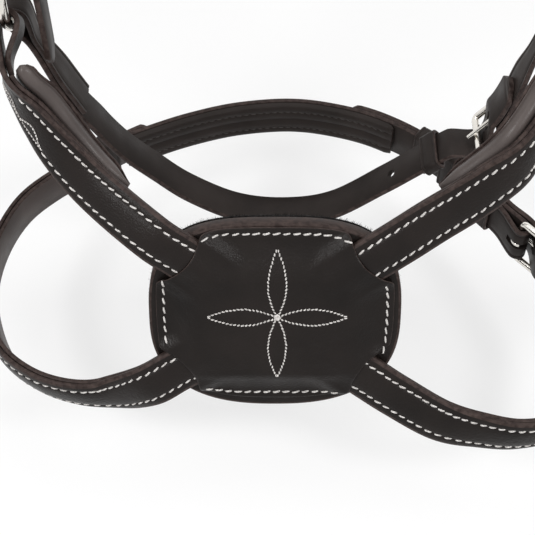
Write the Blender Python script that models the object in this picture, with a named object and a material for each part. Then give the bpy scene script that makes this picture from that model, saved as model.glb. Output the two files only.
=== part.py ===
"""Figure-of-eight noseband: a stitched nose pad where two straps cross, cheek rings,
a crown strap, a jaw strap and a padded chin band, with working buckles and keepers."""
import math
from collections import namedtuple

import bmesh
import bpy
from mathutils import Matrix, Vector

# Leather: one ply, the raised strap face, its lining, and the air kept between pieces
ply = 0.0022
strap_width = 0.019
strap_edge = 0.0015
strap_crown = 0.0032
edge_bevel = 0.0025
lining_thickness = 0.0018
lining_inset = 0.0004
gap = 0.0003

# Nose pad, leaning back
pad_lean = math.radians(28.4)
pad_lift = 0.003
cover_width = 0.094
cover_height = 0.0766
cover_shift = 0.0008
cover_power_upper = 3.4
cover_power_lower = 2.8
cover_rim = 0.0016
cover_crown = 0.0072
cover_shoulder = 0.010
cover_skin = 0.0009
corner_cut_upper = (0.0545, 0.0410, 0.0260)
corner_cut_lower = (0.0515, -0.0337, 0.0212)
base_width = 0.1008
base_height = 0.0824
base_thickness = 0.0075
base_shift = -0.0010
base_power_upper = 3.0
base_power_lower = 2.5
fleece_width = 0.1004
fleece_height = 0.0818
fleece_thickness = 0.0020

# Where the four arms of the crossed straps leave the pad
arm_angle_upper_left = math.radians(37)
arm_angle_upper_right = math.radians(35)
arm_angle_lower_left = math.radians(-31)
arm_angle_lower_right = math.radians(-36)
arm_root = 0.029
arm_rim = 0.046
arm_edge = 0.061

# Cheek rings
ring_radius = 0.0185
ring_wire = 0.00225
ring_back = 0.092
ring_up = 0.099
ring_half_span = 0.106
ring_shift = 0.005
ring_loop_width = 0.0105
ring_play = 0.0009
upper_left_ring_angle = math.radians(217)
upper_right_ring_angle = math.radians(202)
ring_lap = 0.024
arm_lap = 0.020
ring_lean = 0.8
twist_power = 2.2
loop_approach = 0.015

# Padded roll inside each upper strap
roll_width = 0.0205
roll_thickness = 0.0075
roll_start = 0.053
roll_end_clear = 0.002

# Lower loop
loop_half_width = 0.133
loop_back = 0.1475
loop_drop = 0.0375
chin_band_width = 0.0195
chin_padding_thickness = 0.0032
chin_lap_left = 0.016
chin_tip_overlap = 0.112

# Buckles and keepers
buckle_wire = 0.0016
buckle_length = 0.0165
buckle_play = 0.0012
buckle_tilt = math.radians(12)
bar_play = 0.00035
bar_lap = 0.022
fold_clear = 0.0008
dip_run = 0.011
billet_step = 0.0040
tongue_wire = 0.0010
tongue_play = 0.0003
tongue_slot_play = 0.0007
hole_width = 0.0036
hole_length = 0.0100
hole_pitch = 0.019
keeper_width = 0.0085
keeper_thickness = 0.0016
keeper_play = 0.0006

# Crown and jaw straps
crown_width = 0.0125
crown_rise = 0.300
crown_tip_drop = 0.096
crown_lean = 0.0016
jaw_width = 0.016
jaw_drop = 0.146
jaw_lap = 0.055
crown_chape_lap = 0.017
jaw_tip_length = 0.020
strap_step = 0.0080

# Routes, as shares of the sizes above; the last three numbers point across the strap
lower_left_shares = (
    ((-0.52, -0.09, -0.96), (-0.12, 0.06, 0.98)),
    ((-0.64, -0.08, -1.00), (-0.05, -0.10, 0.99)),
    ((-0.76, -0.04, -1.00), (-0.12, -0.12, 0.98)),
    ((-0.865, 0.04, -1.00), (-0.18, -0.06, 0.98)),
    ((-0.93, 0.16, -1.00), (-0.14, 0.00, 0.99)),
    ((-0.96, 0.30, -1.00), (-0.06, 0.00, 1.00)),
    ((-0.94, 0.45, -1.00), (0.00, 0.00, 1.00)),
    ((-0.88, 0.585, -1.00), (0.00, 0.00, 1.00)),
    ((-0.78, 0.685, -1.00), (0.00, 0.00, 1.00)),
    ((-0.66, 0.765, -1.00), (0.00, 0.00, 1.00)),
)
chin_shares = (
    ((-0.55, 0.84, -1.00), (0.00, 0.00, 1.00)),
    ((-0.43, 0.895, -1.00), (0.00, 0.00, 1.00)),
    ((-0.31, 0.94, -1.00), (0.00, 0.00, 1.00)),
    ((-0.165, 0.98, -1.00), (0.00, 0.00, 1.00)),
    ((-0.015, 1.00, -1.00), (0.00, 0.00, 1.00)),
    ((0.105, 1.00, -1.00), (0.00, 0.00, 1.00)),
    ((0.225, 0.98, -1.00), (0.00, 0.00, 1.00)),
    ((0.345, 0.945, -1.00), (0.00, 0.00, 1.00)),
    ((0.45, 0.895, -1.00), (0.00, 0.00, 1.00)),
    ((0.55, 0.83, -1.00), (0.00, 0.00, 1.00)),
    ((0.64, 0.755, -1.00), (0.00, 0.00, 1.00)),
    ((0.72, 0.665, -1.00), (0.00, 0.00, 1.00)),
    ((0.80, 0.57, -1.00), (0.00, 0.00, 1.00)),
    ((0.865, 0.475, -1.00), (0.00, 0.00, 1.00)),
)
lower_right_shares = (
    ((0.925, 0.37, -1.00), (0.00, 0.00, 1.00)),
    ((0.98, 0.265, -1.00), (0.00, 0.00, 1.00)),
    ((1.03, 0.14, -1.00), (0.00, 0.00, 1.00)),
    ((1.035, 0.01, -1.00), (0.00, 0.00, 1.00)),
    ((0.985, -0.10, -1.00), (0.00, 0.00, 1.00)),
    ((0.895, -0.185, -1.00), (0.00, 0.00, 1.00)),
    ((0.76, -0.215, -1.00), (0.03, 0.06, 1.00)),
    ((0.63, -0.20, -1.00), (0.10, 0.22, 0.96)),
    ((0.51, -0.175, -0.945), (0.25, 0.42, 0.86)),
)
upper_left_shares = (
    (-0.549, 0.244, 1.16),
    (-0.677, 0.336, 1.58),
)
upper_right_shares = (
    (0.45, 0.125, 1.10),
    (0.60, 0.155, 1.52),
    (0.715, 0.207, 1.87),
)
crown_shares = (
    (-0.862, -1.00, -0.13),
    (-0.872, -0.70, 0.00),
    (-0.905, -0.20, 0.09),
    (-0.926, 0.00, 0.155),
    (-0.931, 0.00, 0.22),
    (-0.930, 0.00, 0.31),
    (-0.915, 0.00, 0.437),
    (-0.80, 0.00, 0.637),
    (-0.58, 0.00, 0.83),
    (-0.31, 0.00, 0.955),
    (0.00, 0.00, 1.00),
    (0.31, 0.00, 0.955),
    (0.58, 0.00, 0.83),
    (0.80, 0.00, 0.637),
    (0.94, 0.00, 0.437),
    (0.99, 0.00, 0.27),
)
jaw_shares = (
    (-0.81, 0.4771),
    (-0.69, 0.6490),
    (-0.55, 0.7726),
    (-0.41, 0.8788),
    (-0.21, 0.9740),
    (0, 1.0000),
    (0.21, 0.9651),
    (0.425, 0.8354),
    (0.54, 0.7581),
    (0.645, 0.6857),
    (0.745, 0.6229),
    (0.85, 0.5312),
    (0.877, 0.4056),
)
jaw_taper_shares = (0.3, 0.7)
crown_hole_shares = (1.5, 2.5, 3.5)
jaw_hole_shares = (1.2, 2.2)
chin_hole_shares = (2, 3, 4)

# What follows from the sizes above
seat = (ply + gap) / 2
under = -(ply / 2 + gap + lining_thickness / 2)
second = -(ply + gap)
arm_seat = gap + lining_thickness + gap + ply / 2
pad_turn = math.pi / 2 - pad_lean
bar_hole = buckle_wire + bar_play
ring_hole = ring_wire + ring_play
reach = bar_hole + ply / 2
ring_reach = ring_hole + ply / 2
ring_axis = math.sqrt(ring_radius ** 2 - (ring_loop_width / 2) ** 2) / 2 + ring_radius / 2
ring_left_x = ring_shift - ring_half_span
ring_right_x = ring_shift + ring_half_span
crown_rest = Vector((ring_shift, ring_back, ring_up + crown_rise - ply / 2))

Station = namedtuple("Station", "pos across out half raised")
collection = bpy.data.collections.new("figure_eight_noseband")
cutters = bpy.data.collections.new("cutters")
materials = {}


def start_scene():
    for old in list(bpy.data.objects):
        bpy.data.objects.remove(old, do_unlink=True)
    for group in (collection, cutters):
        bpy.context.scene.collection.children.link(group)


def make_material(name, color, roughness, metallic=0.0):
    made = bpy.data.materials.new(name)
    made.use_nodes = True
    shader = made.node_tree.nodes["Principled BSDF"]
    shader.inputs["Base Color"].default_value = (*color, 1.0)
    shader.inputs["Roughness"].default_value = roughness
    shader.inputs["Metallic"].default_value = metallic
    made.diffuse_color = (*color, 1.0)
    return made


def make_materials():
    materials["leather"] = ((0.022, 0.019, 0.018), 0.45, 0.0)
    materials["lining"] = ((0.060, 0.042, 0.036), 0.60, 0.0)
    materials["fleece"] = ((0.020, 0.018, 0.018), 0.95, 0.0)
    materials["nickel"] = ((0.62, 0.60, 0.57), 0.25, 1.0)


def adopt(piece, slot, parent):
    """Put a finished object in the collection under its parent, with its own material."""
    color, roughness, metallic = materials[slot]
    piece.data.materials.clear()
    piece.data.materials.append(make_material(piece.name + "_" + slot, color, roughness, metallic))
    for group in list(piece.users_collection):
        group.objects.unlink(piece)
    collection.objects.link(piece)
    piece.parent = parent
    return piece


def smooth_faces(piece):
    piece.data.shade_smooth()
    piece.data.set_sharp_from_angle(angle=math.radians(40))


def make_empty(name, location, rotation=(0.0, 0.0, 0.0), parent=None):
    empty = bpy.data.objects.new(name, None)
    collection.objects.link(empty)
    empty.location = location
    empty.rotation_euler = rotation
    empty.parent = parent
    return empty


def ease(share):
    share = min(max(share, 0.0), 1.0)
    return share * share * (3.0 - 2.0 * share)


def value(rule, s):
    return rule(s) if callable(rule) else rule


def blend(first, last, begin, end):
    """A value that passes smoothly from first to last between two places on a route."""
    return lambda s: first + (last - first) * ease((s - begin) / (end - begin))


class Route:
    """A smooth line through chosen stations that knows its length and its own directions."""

    def __init__(self, stations, side):
        self.side = side
        self.places = []
        self.acrosses = []
        self.marks = []
        detail = 10
        padded = [self.mirror(stations[1], stations[0]), *stations, self.mirror(stations[-2], stations[-1])]
        for index in range(len(stations) - 1):
            four = padded[index:index + 4]
            self.marks.append(len(self.places))
            for step in range(detail):
                self.places.append(self.spline([item[0] for item in four], step / detail))
                self.acrosses.append(self.spline([item[1] for item in four], step / detail))
        self.marks.append(len(self.places))
        self.places.append(stations[-1][0].copy())
        self.acrosses.append(stations[-1][1].copy())
        self.reached = [0.0]
        for before, after in zip(self.places, self.places[1:]):
            self.reached.append(self.reached[-1] + (after - before).length)
        self.length = self.reached[-1]

    @staticmethod
    def mirror(item, about):
        return 2 * about[0] - item[0], about[1]

    @staticmethod
    def spline(points, t):
        a, b, c, d = points
        return 0.5 * (2 * b + (c - a) * t + (2 * a - 5 * b + 4 * c - d) * t ** 2
                      + (3 * b - a - 3 * c + d) * t ** 3)

    def mark(self, index):
        return self.reached[self.marks[index]]

    def frame(self, s):
        """Place, direction along, direction across and direction out at distance s."""
        s = min(max(s, 0.0), self.length)
        index = 0
        while index < len(self.reached) - 2 and self.reached[index + 1] < s:
            index += 1
        share = (s - self.reached[index]) / (self.reached[index + 1] - self.reached[index])
        before = self.tangent(index)
        after = self.tangent(index + 1)
        place = self.places[index].lerp(self.places[index + 1], share)
        along = before.lerp(after, share).normalized()
        across = self.acrosses[index].lerp(self.acrosses[index + 1], share)
        across = (across - along * across.dot(along)).normalized()
        return place, along, across, self.side * across.cross(along)

    def tangent(self, index):
        low = max(index - 1, 0)
        high = min(index + 1, len(self.places) - 1)
        return (self.places[high] - self.places[low]).normalized()


def run(route, begin, end, offset, half, raised=0.0, step=strap_step):
    """Stations of a strap that follows a route at an offset along its out direction.

    They stand on the same marks for every strap of a route, so stacked plies bend together.
    """
    inside = range(math.ceil(begin / step + 0.3), math.floor(end / step - 0.3) + 1)
    made = []
    for s in [begin] + [index * step for index in inside] + [end]:
        place, along, across, out = route.frame(s)
        made.append(Station(place + out * value(offset, s), across, out, value(half, s), value(raised, s)))
    return made


def turn(route, pin, base, hole_reach, lap, half, heading=1, sign=1):
    """A strap end folded round a pin: the ply that arrives, the bend and the ply that returns."""
    steps = 4
    places = [lap - (lap - loop_approach) * index / 2 for index in range(3 if lap > loop_approach else 0)]
    places += [min(lap, loop_approach) * (1 - index / steps) for index in range(1, steps + 1)]
    arriving = []
    for back in places:
        place, along, across, out = route.frame(pin - heading * back)
        lift = seat + (hole_reach - seat) * ease(1 - back / loop_approach)
        arriving.append((place, across, out, lift))
    outer = [Station(p + o * (base + sign * lift), a, sign * o, half, 0.0) for p, a, o, lift in arriving]
    inner = [Station(p + o * (base - sign * lift), a, -sign * o, half, 0.0) for p, a, o, lift in arriving[::-1]]
    place, along, across, out = route.frame(pin)
    centre = place + out * base
    bend = []
    for index in range(1, 8):
        angle = math.pi / 2 - math.pi * index / 8
        facing = heading * along * math.cos(angle) + sign * out * math.sin(angle)
        bend.append(Station(centre + facing * hole_reach, across, facing, half, 0.0))
    return outer, bend, inner


def strap_profile(station):
    low = -ply / 2
    edge = ply / 2 - (ply - strap_edge) * station.raised
    top = ply / 2 + (strap_crown - ply) * station.raised
    half = station.half
    bevel = min(edge_bevel, half / 2)
    return [(-half, low), (half, low), (half, edge), (half - bevel, top), (bevel - half, top), (-half, edge)]


def lining_profile(station):
    deep = lining_thickness / 2
    return [(-station.half, -deep), (station.half, -deep), (station.half, deep), (-station.half, deep)]


def padding_profile(thickness, power):
    """A soft rounded section; raised is the share of its full size near the ends."""
    def profile(station):
        points = []
        for index in range(10):
            angle = 2 * math.pi * (index + 0.5) / 10
            flat = [math.copysign(abs(part) ** power, part) for part in (math.cos(angle), math.sin(angle))]
            points.append((station.half * flat[0], thickness / 2 * station.raised * flat[1]))
        return points
    return profile


def loft(name, stations, profile, slot, parent, origin=Vector()):
    """A closed body whose section follows the stations, made from a cut-up prism.

    Each side face is split the same way, so that twisted plies lie parallel.
    """
    corners = len(profile(stations[0]))
    mesh = bmesh.new()
    bmesh.ops.create_cone(mesh, cap_ends=True, segments=corners, radius1=1, radius2=1, depth=1)
    sides = [edge for edge in mesh.edges if abs(edge.verts[0].co.z - edge.verts[1].co.z) > 0.5]
    bmesh.ops.subdivide_edges(mesh, edges=sides, cuts=len(stations) - 2)
    spots = {}
    for vert in mesh.verts:
        index = round((vert.co.z + 0.5) * (len(stations) - 1))
        station = stations[index]
        corner = round(math.atan2(vert.co.y, vert.co.x) / (2 * math.pi / corners) + corners) % corners
        sideways, outward = profile(station)[corner]
        spots[vert] = (index, sideways, outward)
        vert.co = station.pos + station.across * sideways + station.out * outward - origin
    for face in list(mesh.faces):
        ordered = sorted(face.verts, key=lambda vert: spots[vert])
        if spots[ordered[0]][0] != spots[ordered[-1]][0]:
            bmesh.utils.face_split(face, ordered[0], ordered[-1])
    if mesh.calc_volume(signed=True) < 0:
        bmesh.ops.reverse_faces(mesh, faces=mesh.faces)
    data = bpy.data.meshes.new(name)
    mesh.to_mesh(data)
    mesh.free()
    piece = bpy.data.objects.new(name, data)
    collection.objects.link(piece)
    piece.location = origin
    smooth_faces(piece)
    return adopt(piece, slot, parent)


def wire(name, points, radius, closed, slot, parent, origin):
    """A bent wire as a curve, with rounded section and filled ends."""
    curve = bpy.data.curves.new(name, "CURVE")
    curve.dimensions = "3D"
    curve.bevel_depth = radius
    curve.bevel_resolution = 2
    curve.use_fill_caps = not closed
    spline = curve.splines.new("POLY")
    spline.points.add(len(points) - 1)
    for point, place in zip(spline.points, points):
        point.co = (*(place - origin), 1.0)
    spline.use_cyclic_u = closed
    piece = bpy.data.objects.new(name, curve)
    collection.objects.link(piece)
    piece.location = origin
    return adopt(piece, slot, parent)


def rounded_outline(half_width, half_height, corner, shift=0.0, steps=4):
    """Points round a rectangle with round corners."""
    points = []
    for turn_index, (side_x, side_y) in enumerate(((1, 1), (-1, 1), (-1, -1), (1, -1))):
        for step in range(steps + 1):
            angle = (turn_index + step / steps) * math.pi / 2
            points.append((side_x * (half_width - corner) + corner * math.cos(angle),
                           shift + side_y * (half_height - corner) + corner * math.sin(angle)))
    return points


def oval_share(x, y, power_upper, power_lower):
    """How far out a point lies, where 1 is on the outline of a squarish oval."""
    power = power_upper if y > 0 else power_lower
    return (abs(x) ** power + abs(y) ** power) ** (1 / power)


def oval_outline(half_width, half_height, shift, power_upper, power_lower, steps=48):
    """Points round a squarish oval."""
    points = []
    for step in range(steps):
        angle = 2 * math.pi * (step + 0.5) / steps
        x, y = math.cos(angle), math.sin(angle)
        share = oval_share(x, y, power_upper, power_lower)
        points.append((half_width * x / share, shift + half_height * y / share))
    return points


def plate(name, outlines, half_thickness, slot, parent, origin, matrix):
    """A flat outline, with holes where it has more than one loop, given a thickness."""
    curve = bpy.data.curves.new(name, "CURVE")
    curve.dimensions = "2D"
    curve.fill_mode = "BOTH"
    curve.extrude = half_thickness
    for outline in outlines:
        spline = curve.splines.new("POLY")
        spline.points.add(len(outline) - 1)
        for point, (x, y) in zip(spline.points, outline):
            point.co = (x, y, 0.0, 1.0)
        spline.use_cyclic_u = True
    piece = bpy.data.objects.new(name, curve)
    collection.objects.link(piece)
    piece.matrix_local = Matrix.Translation(origin) @ matrix
    return adopt(piece, slot, parent)


def basis(x, y, z):
    return Matrix((x, y, z)).transposed().to_4x4()


def cut(piece, cutter):
    """Take a cutter away from a piece."""
    for group in list(cutter.users_collection):
        group.objects.unlink(cutter)
    cutters.objects.link(cutter)
    cutter.hide_render = True
    cutter.display_type = "WIRE"
    cutter.parent = piece.parent
    modifier = piece.modifiers.new(cutter.name, "BOOLEAN")
    modifier.operation = "DIFFERENCE"
    modifier.solver = "EXACT"
    modifier.object = cutter


def block(name, place, along, across, out, size):
    """A box cutter, length by width by height in its own directions."""
    mesh = bmesh.new()
    bmesh.ops.create_cube(mesh, size=1.0)
    bmesh.ops.scale(mesh, vec=size, verts=mesh.verts)
    data = bpy.data.meshes.new(name)
    mesh.to_mesh(data)
    mesh.free()
    piece = bpy.data.objects.new(name, data)
    piece.matrix_local = Matrix.Translation(place) @ basis(along, across, out)
    return piece


def drill(name, place, along, across, out, radius, height, stretch=(1.0, 1.0), segments=12):
    """A round or oval cutter that stands along out."""
    mesh = bmesh.new()
    bmesh.ops.create_cone(mesh, cap_ends=True, segments=segments, radius1=radius, radius2=radius, depth=height)
    bmesh.ops.scale(mesh, vec=(*stretch, 1.0), verts=mesh.verts)
    data = bpy.data.meshes.new(name)
    mesh.to_mesh(data)
    mesh.free()
    piece = bpy.data.objects.new(name, data)
    piece.matrix_local = Matrix.Translation(place) @ basis(along, across, out)
    return piece


def keeper(name, route, s, width, low, high, slot, parent):
    """A flat loop round a stack of straps that lies between low and high."""
    place, along, across, out = route.frame(s)
    middle = place + out * (low + high) / 2
    half_across = width / 2 + keeper_play
    half_out = (high - low) / 2 + keeper_play
    corner = keeper_thickness * 0.6
    outer = rounded_outline(half_across + keeper_thickness, half_out + keeper_thickness, corner + keeper_thickness)
    inner = rounded_outline(half_across, half_out, corner)
    return plate(name, (outer, inner), keeper_width / 2, slot, parent, middle, basis(across, out, across.cross(out)))


def buckle(prefix, route, bar, far_heading, base, width, parent):
    """A wire frame and its tongue on the heel bar; far_heading points along the route to the far bar."""
    place, along, across, out = route.frame(bar)
    pin = place + out * base
    forward = far_heading * along
    leaning = forward * math.cos(buckle_tilt) + out * math.sin(buckle_tilt)
    rising = out * math.cos(buckle_tilt) - forward * math.sin(buckle_tilt)
    half = width / 2 + buckle_play + buckle_wire
    corner = buckle_wire * 1.25
    middle = buckle_length / 2
    ring = [pin + across * x + leaning * (middle + y)
            for x, y in rounded_outline(half, middle, corner, steps=3)]
    frame = wire(prefix + "_buckle_frame", ring, buckle_wire, True, "nickel", parent, pin)
    eye = buckle_wire + tongue_play + tongue_wire
    bent = []
    for index in range(9):
        angle = math.radians(-50 - 220 * index / 8)
        bent.append(pin + leaning * (eye * math.cos(angle)) + rising * (eye * math.sin(angle)))
    tip = buckle_length + buckle_wire + tongue_wire
    bent += [pin + rising * eye + leaning * (tip * share) for share in (0.25, 0.5, 0.75, 1.0)]
    tongue = wire(prefix + "_buckle_tongue", bent, tongue_wire, False, "nickel", parent, pin)
    return frame, tongue


def cut_bar_slot(piece, route, bar, far_heading, base):
    """The slot in a folded strap end that the tongue turns in."""
    place, along, across, out = route.frame(bar)
    forward = far_heading * along
    eye = buckle_wire + tongue_play + 2 * tongue_wire
    back = eye + tongue_slot_play
    front = reach + ply
    width = 2 * (tongue_wire + tongue_slot_play)
    middle = place + out * base + forward * (front - back) / 2
    cut(piece, block(piece.name + "_slot", middle, forward, across, out, (front + back, width, 2 * (reach + ply))))


def cut_tongue_hole(piece, route, bar, far_heading, base, name):
    """The hole in the strap that the tongue comes up through."""
    place, along, across, out = route.frame(bar)
    forward = far_heading * along
    middle = place + out * base + forward * buckle_length * 0.30
    cut(piece, block(name, middle, forward, across, out, (hole_length, hole_width, 6 * ply)))


def cut_spare_holes(piece, route, places, offset):
    for index, s in enumerate(places):
        place, along, across, out = route.frame(s)
        name = piece.name + "_hole_" + str(index)
        cut(piece, drill(name, place + out * offset, along, across, out, hole_width / 2, 6 * ply))


def billet_offset(route, bar, far_heading, base):
    """How a strap dips under the far bar and climbs over the folded end at the heel bar."""
    over = base + reach + ply / 2 + fold_clear + ply / 2
    far_reach = buckle_length * math.cos(buckle_tilt)
    place, along, across, out = route.frame(bar)
    far_bar = place + out * (base + buckle_length * math.sin(buckle_tilt)) + along * far_heading * far_reach
    beneath, along, across, out = route.frame(bar + far_heading * far_reach)
    below = (far_bar - beneath).dot(out) - (buckle_wire + buckle_play + ply / 2) / math.cos(buckle_tilt)

    def offset(s):
        ahead = (s - bar) * far_heading
        if ahead < 0:
            return over * (1 - ease(-ahead / loop_approach))
        if ahead < far_reach:
            return over + (below - over) * ease(ahead / far_reach)
        return below * (1 - ease((ahead - far_reach) / dip_run))
    return offset


def slab(name, half_width, half_height, thickness, level, slot, parent):
    """A flat oval sheet whose front lies at the given level."""
    outline = oval_outline(half_width, half_height, base_shift, base_power_upper, base_power_lower)
    return plate(name, (outline,), thickness / 2, slot, parent, Vector((0, 0, level - thickness / 2)),
                 Matrix.Identity(4))


def cover_height_at(x, y):
    """The cover lies flat along its stitched sides and rises to its crown inside them."""
    inside = min(cover_width / 2 - abs(x), cover_height / 2 - abs(y - cover_shift))
    swell = 1 - 0.12 * ((2 * x / cover_width) ** 2 + (2 * y / cover_height) ** 2)
    return cover_rim + (cover_crown * swell - cover_rim) * ease(inside / cover_shoulder)


def build_cover(pad):
    mesh = bmesh.new()
    bmesh.ops.create_cube(mesh, size=2.0)
    bmesh.ops.subdivide_edges(mesh, edges=mesh.edges, cuts=11, use_grid_fill=True)
    for vert in mesh.verts:
        x = math.sin(vert.co.x * math.pi / 2)
        y = math.sin(vert.co.y * math.pi / 2)
        share = oval_share(x, y, cover_power_upper, cover_power_lower)
        draw = max(abs(x), abs(y)) / share if share else 1.0
        x *= draw * cover_width / 2
        y = cover_shift + y * draw * cover_height / 2
        rise = (vert.co.z + 1) / 2
        vert.co = Vector((x, y, gap + rise * cover_height_at(x, y)))
    data = bpy.data.meshes.new("nose_cover")
    mesh.to_mesh(data)
    mesh.free()
    cover = bpy.data.objects.new("nose_cover", data)
    adopt(cover, "leather", pad)
    channel_top = arm_seat + strap_crown - ply / 2 + gap + cover_skin / 3
    for tag, side, angle, corner_cut in (("upper_left", -1, arm_angle_upper_left, corner_cut_upper),
                                         ("upper_right", 1, arm_angle_upper_right, corner_cut_upper),
                                         ("lower_left", -1, arm_angle_lower_left, corner_cut_lower),
                                         ("lower_right", 1, arm_angle_lower_right, corner_cut_lower)):
        corner = Vector((side * corner_cut[0], corner_cut[1], 0))
        cut(cover, drill("corner_" + tag, corner, Vector((1, 0, 0)), Vector((0, 1, 0)), Vector((0, 0, 1)),
                         corner_cut[2], 4 * cover_crown, (1.0, 1.0), 40))
        along = Vector((side * math.cos(angle), math.sin(angle), 0))
        across = Vector((-along.y, along.x, 0))
        begin = arm_root - gap
        length = cover_width
        place = along * (begin + length / 2) + Vector((0, 0, channel_top - cover_crown / 2))
        cut(cover, block("channel_" + tag, place, along, across, Vector((0, 0, 1)),
                         (length, strap_width + 4 * gap, cover_crown)))
    return cover


def build_pad(pad):
    build_cover(pad)
    slab("nose_base", base_width / 2, base_height / 2, base_thickness, 0.0, "leather", pad)
    slab("nose_fleece", fleece_width / 2, fleece_height / 2, fleece_thickness, -base_thickness - gap, "fleece",
         pad)


def pad_stations(pad_matrix, side, angle):
    """The first stations of an arm, lying on the pad."""
    along = Vector((side * math.cos(angle), math.sin(angle), 0))
    up = Vector((-side * math.sin(angle), math.cos(angle), 0))
    turn_only = pad_matrix.to_3x3()
    stations = []
    for far in (arm_root, arm_rim, arm_edge):
        stations.append((pad_matrix @ (along * far + Vector((0, 0, arm_seat))), turn_only @ up))
    return stations


def loop_point(share):
    x, y, z = share
    return Vector((x * loop_half_width, y * loop_back, z * loop_drop))


def ring_station(x, angle):
    """The line through a ring's wire, for a strap that reaches the ring at an angle."""
    spoke = Vector((0, math.cos(angle), math.sin(angle)))
    centre = Vector((x, ring_back, ring_up))
    tangent = Vector((0, math.sin(angle), -math.cos(angle)))
    return [(centre + spoke * (ring_axis + arm_lap), tangent), (centre + spoke * ring_axis, tangent)]


def build_upper_arm(side, pad_matrix, parent):
    left = side < 0
    tag = "left" if left else "right"
    shares = upper_left_shares if left else upper_right_shares
    angle = upper_left_ring_angle if left else upper_right_ring_angle
    ring_x = ring_left_x if left else ring_right_x
    stations = pad_stations(pad_matrix, side, arm_angle_upper_left if left else arm_angle_upper_right)
    ends = ring_station(ring_x, angle)
    places = [loop_point(share) for share in shares]
    for index, place in enumerate(places):
        share = ((index + 1) / (len(places) + 1)) ** twist_power
        stations.append((place, stations[2][1].lerp(ends[1][1], share).normalized()))
    leaning = stations[2][1].lerp(ends[1][1], ring_lean).normalized()
    route = Route(stations + [(ends[0][0], leaning), ends[1]], 1 if left else -1)
    pin = route.length
    straight = pin - arm_lap
    half = blend(strap_width / 2, ring_loop_width / 2, straight, straight + loop_approach)
    offset = blend(0.0, seat, straight - loop_approach, straight)
    raised = blend(1.0, 0.0, straight - loop_approach, straight)
    outer, bend, inner = turn(route, pin, 0.0, ring_reach, arm_lap, ring_loop_width / 2)
    outer = [station._replace(half=half(straight + arm_lap * index / (len(outer) - 1)))
             for index, station in enumerate(outer)]
    face = run(route, 0.0, straight, offset, half, raised)[:-1] + outer + bend + inner
    loft("strap_upper_" + tag, face, strap_profile, "leather", parent)
    lining_end = straight - 2 * gap
    lining = run(route, 0.0, lining_end, lambda s: offset(s) + under, strap_width / 2 - lining_inset)
    loft("lining_upper_" + tag, lining, lining_profile, "lining", parent)
    deep = second - ply / 2 - 2 * gap - roll_thickness / 2
    roll_end = pin - roll_end_clear - loop_approach
    roll_half = roll_width / 2
    swell = (lambda s: min(ease((s - roll_start) / loop_approach + 0.25), ease((roll_end - s) / ply / 2 + 0.45)))
    roll = run(route, roll_start, roll_end, lambda s: offset(s) + deep,
               lambda s: roll_half * (0.8 + 0.2 * swell(s)), swell)
    loft("roll_" + tag, roll, padding_profile(roll_thickness, 0.62), "lining", parent)


def build_lower_loop(pad_matrix, parent):
    stations = pad_stations(pad_matrix, -1, arm_angle_lower_left)
    for share, across in lower_left_shares + chin_shares + lower_right_shares:
        stations.append((loop_point(share), Vector(across).normalized()))
    stations += pad_stations(pad_matrix, 1, arm_angle_lower_right)[::-1]
    route = Route(stations, 1)
    joint = route.mark(3 + len(lower_left_shares))
    bar = route.mark(3 + len(lower_left_shares) + len(chin_shares) - 1)
    base = second - seat
    full = strap_width / 2
    left_end = joint + chin_lap_left
    flat_left = blend(1.0, 0.0, left_end - loop_approach, left_end)
    point = blend(full, full * 0.55, left_end - edge_bevel * 2, left_end)
    loft("strap_lower_left", run(route, 0.0, left_end, 0.0, point, flat_left), strap_profile, "leather", parent)
    loft("lining_lower_left", run(route, 0.0, joint - gap, under, full - lining_inset), lining_profile,
         "lining", parent)

    tip = bar - chin_tip_overlap
    dip = billet_offset(route, bar, 1, base)
    ahead = bar + buckle_length
    raised = blend(0.0, 1.0, ahead + loop_approach, ahead + 2 * loop_approach)
    narrowed = blend(full * 0.35, full, tip, tip + edge_bevel * 3)
    strap = loft("strap_lower_right", run(route, tip, ahead + 2 * loop_approach, dip, narrowed, raised, billet_step)[:-1]
                 + run(route, ahead + 2 * loop_approach, route.length, 0.0, full, 1.0), strap_profile,
                 "leather", parent)
    loft("lining_lower_right", run(route, ahead + 2 * loop_approach, route.length, under, full - lining_inset),
         lining_profile, "lining", parent)
    cut_tongue_hole(strap, route, bar, 1, (dip(bar) + dip(ahead)) / 2, "chin_tongue_hole")
    cut_spare_holes(strap, route, [bar - hole_pitch * share for share in chin_hole_shares], 0.0)

    chin_half = chin_band_width / 2
    outer, bend, inner = turn(route, bar, base, reach, bar_lap, full)
    chin = run(route, joint + gap, bar - bar_lap, second, chin_half)[:-1] + outer + bend + inner
    band = loft("chin_strap", chin, strap_profile, "leather", parent)
    cut_bar_slot(band, route, bar, 1, base)
    deep = second - ply / 2 - gap - chin_padding_thickness / 2
    soft_end = route.mark(3 + len(lower_left_shares) + 8)
    swell = lambda s: min(ease((s - joint) / edge_bevel / 2 + 0.4), ease((soft_end - s) / edge_bevel / 2 + 0.4))
    padding = run(route, joint + gap, soft_end, deep, lambda s: chin_half * (0.9 + 0.1 * swell(s)), swell)
    loft("chin_padding", padding, padding_profile(chin_padding_thickness, 0.5), "lining", parent)

    buckle("chin", route, bar, 1, base, strap_width, parent)
    outside = ply / 2
    inside = base - seat - ply / 2
    keeper("chin_keeper_front", route, bar - loop_approach - keeper_width, strap_width, inside, outside,
           "leather", parent)
    band_inside = second - ply / 2
    keeper("chin_keeper_middle", route, route.mark(3 + len(lower_left_shares) + 10), chin_band_width,
           band_inside, outside, "leather", parent)
    keeper("chin_keeper_rear", route, route.mark(3 + len(lower_left_shares) + 9), chin_band_width,
           band_inside, outside, "leather", parent)
    keeper("chin_keeper_left", route, joint - keeper_width, strap_width, under - lining_thickness / 2,
           strap_crown - ply / 2, "leather", parent)


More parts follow.
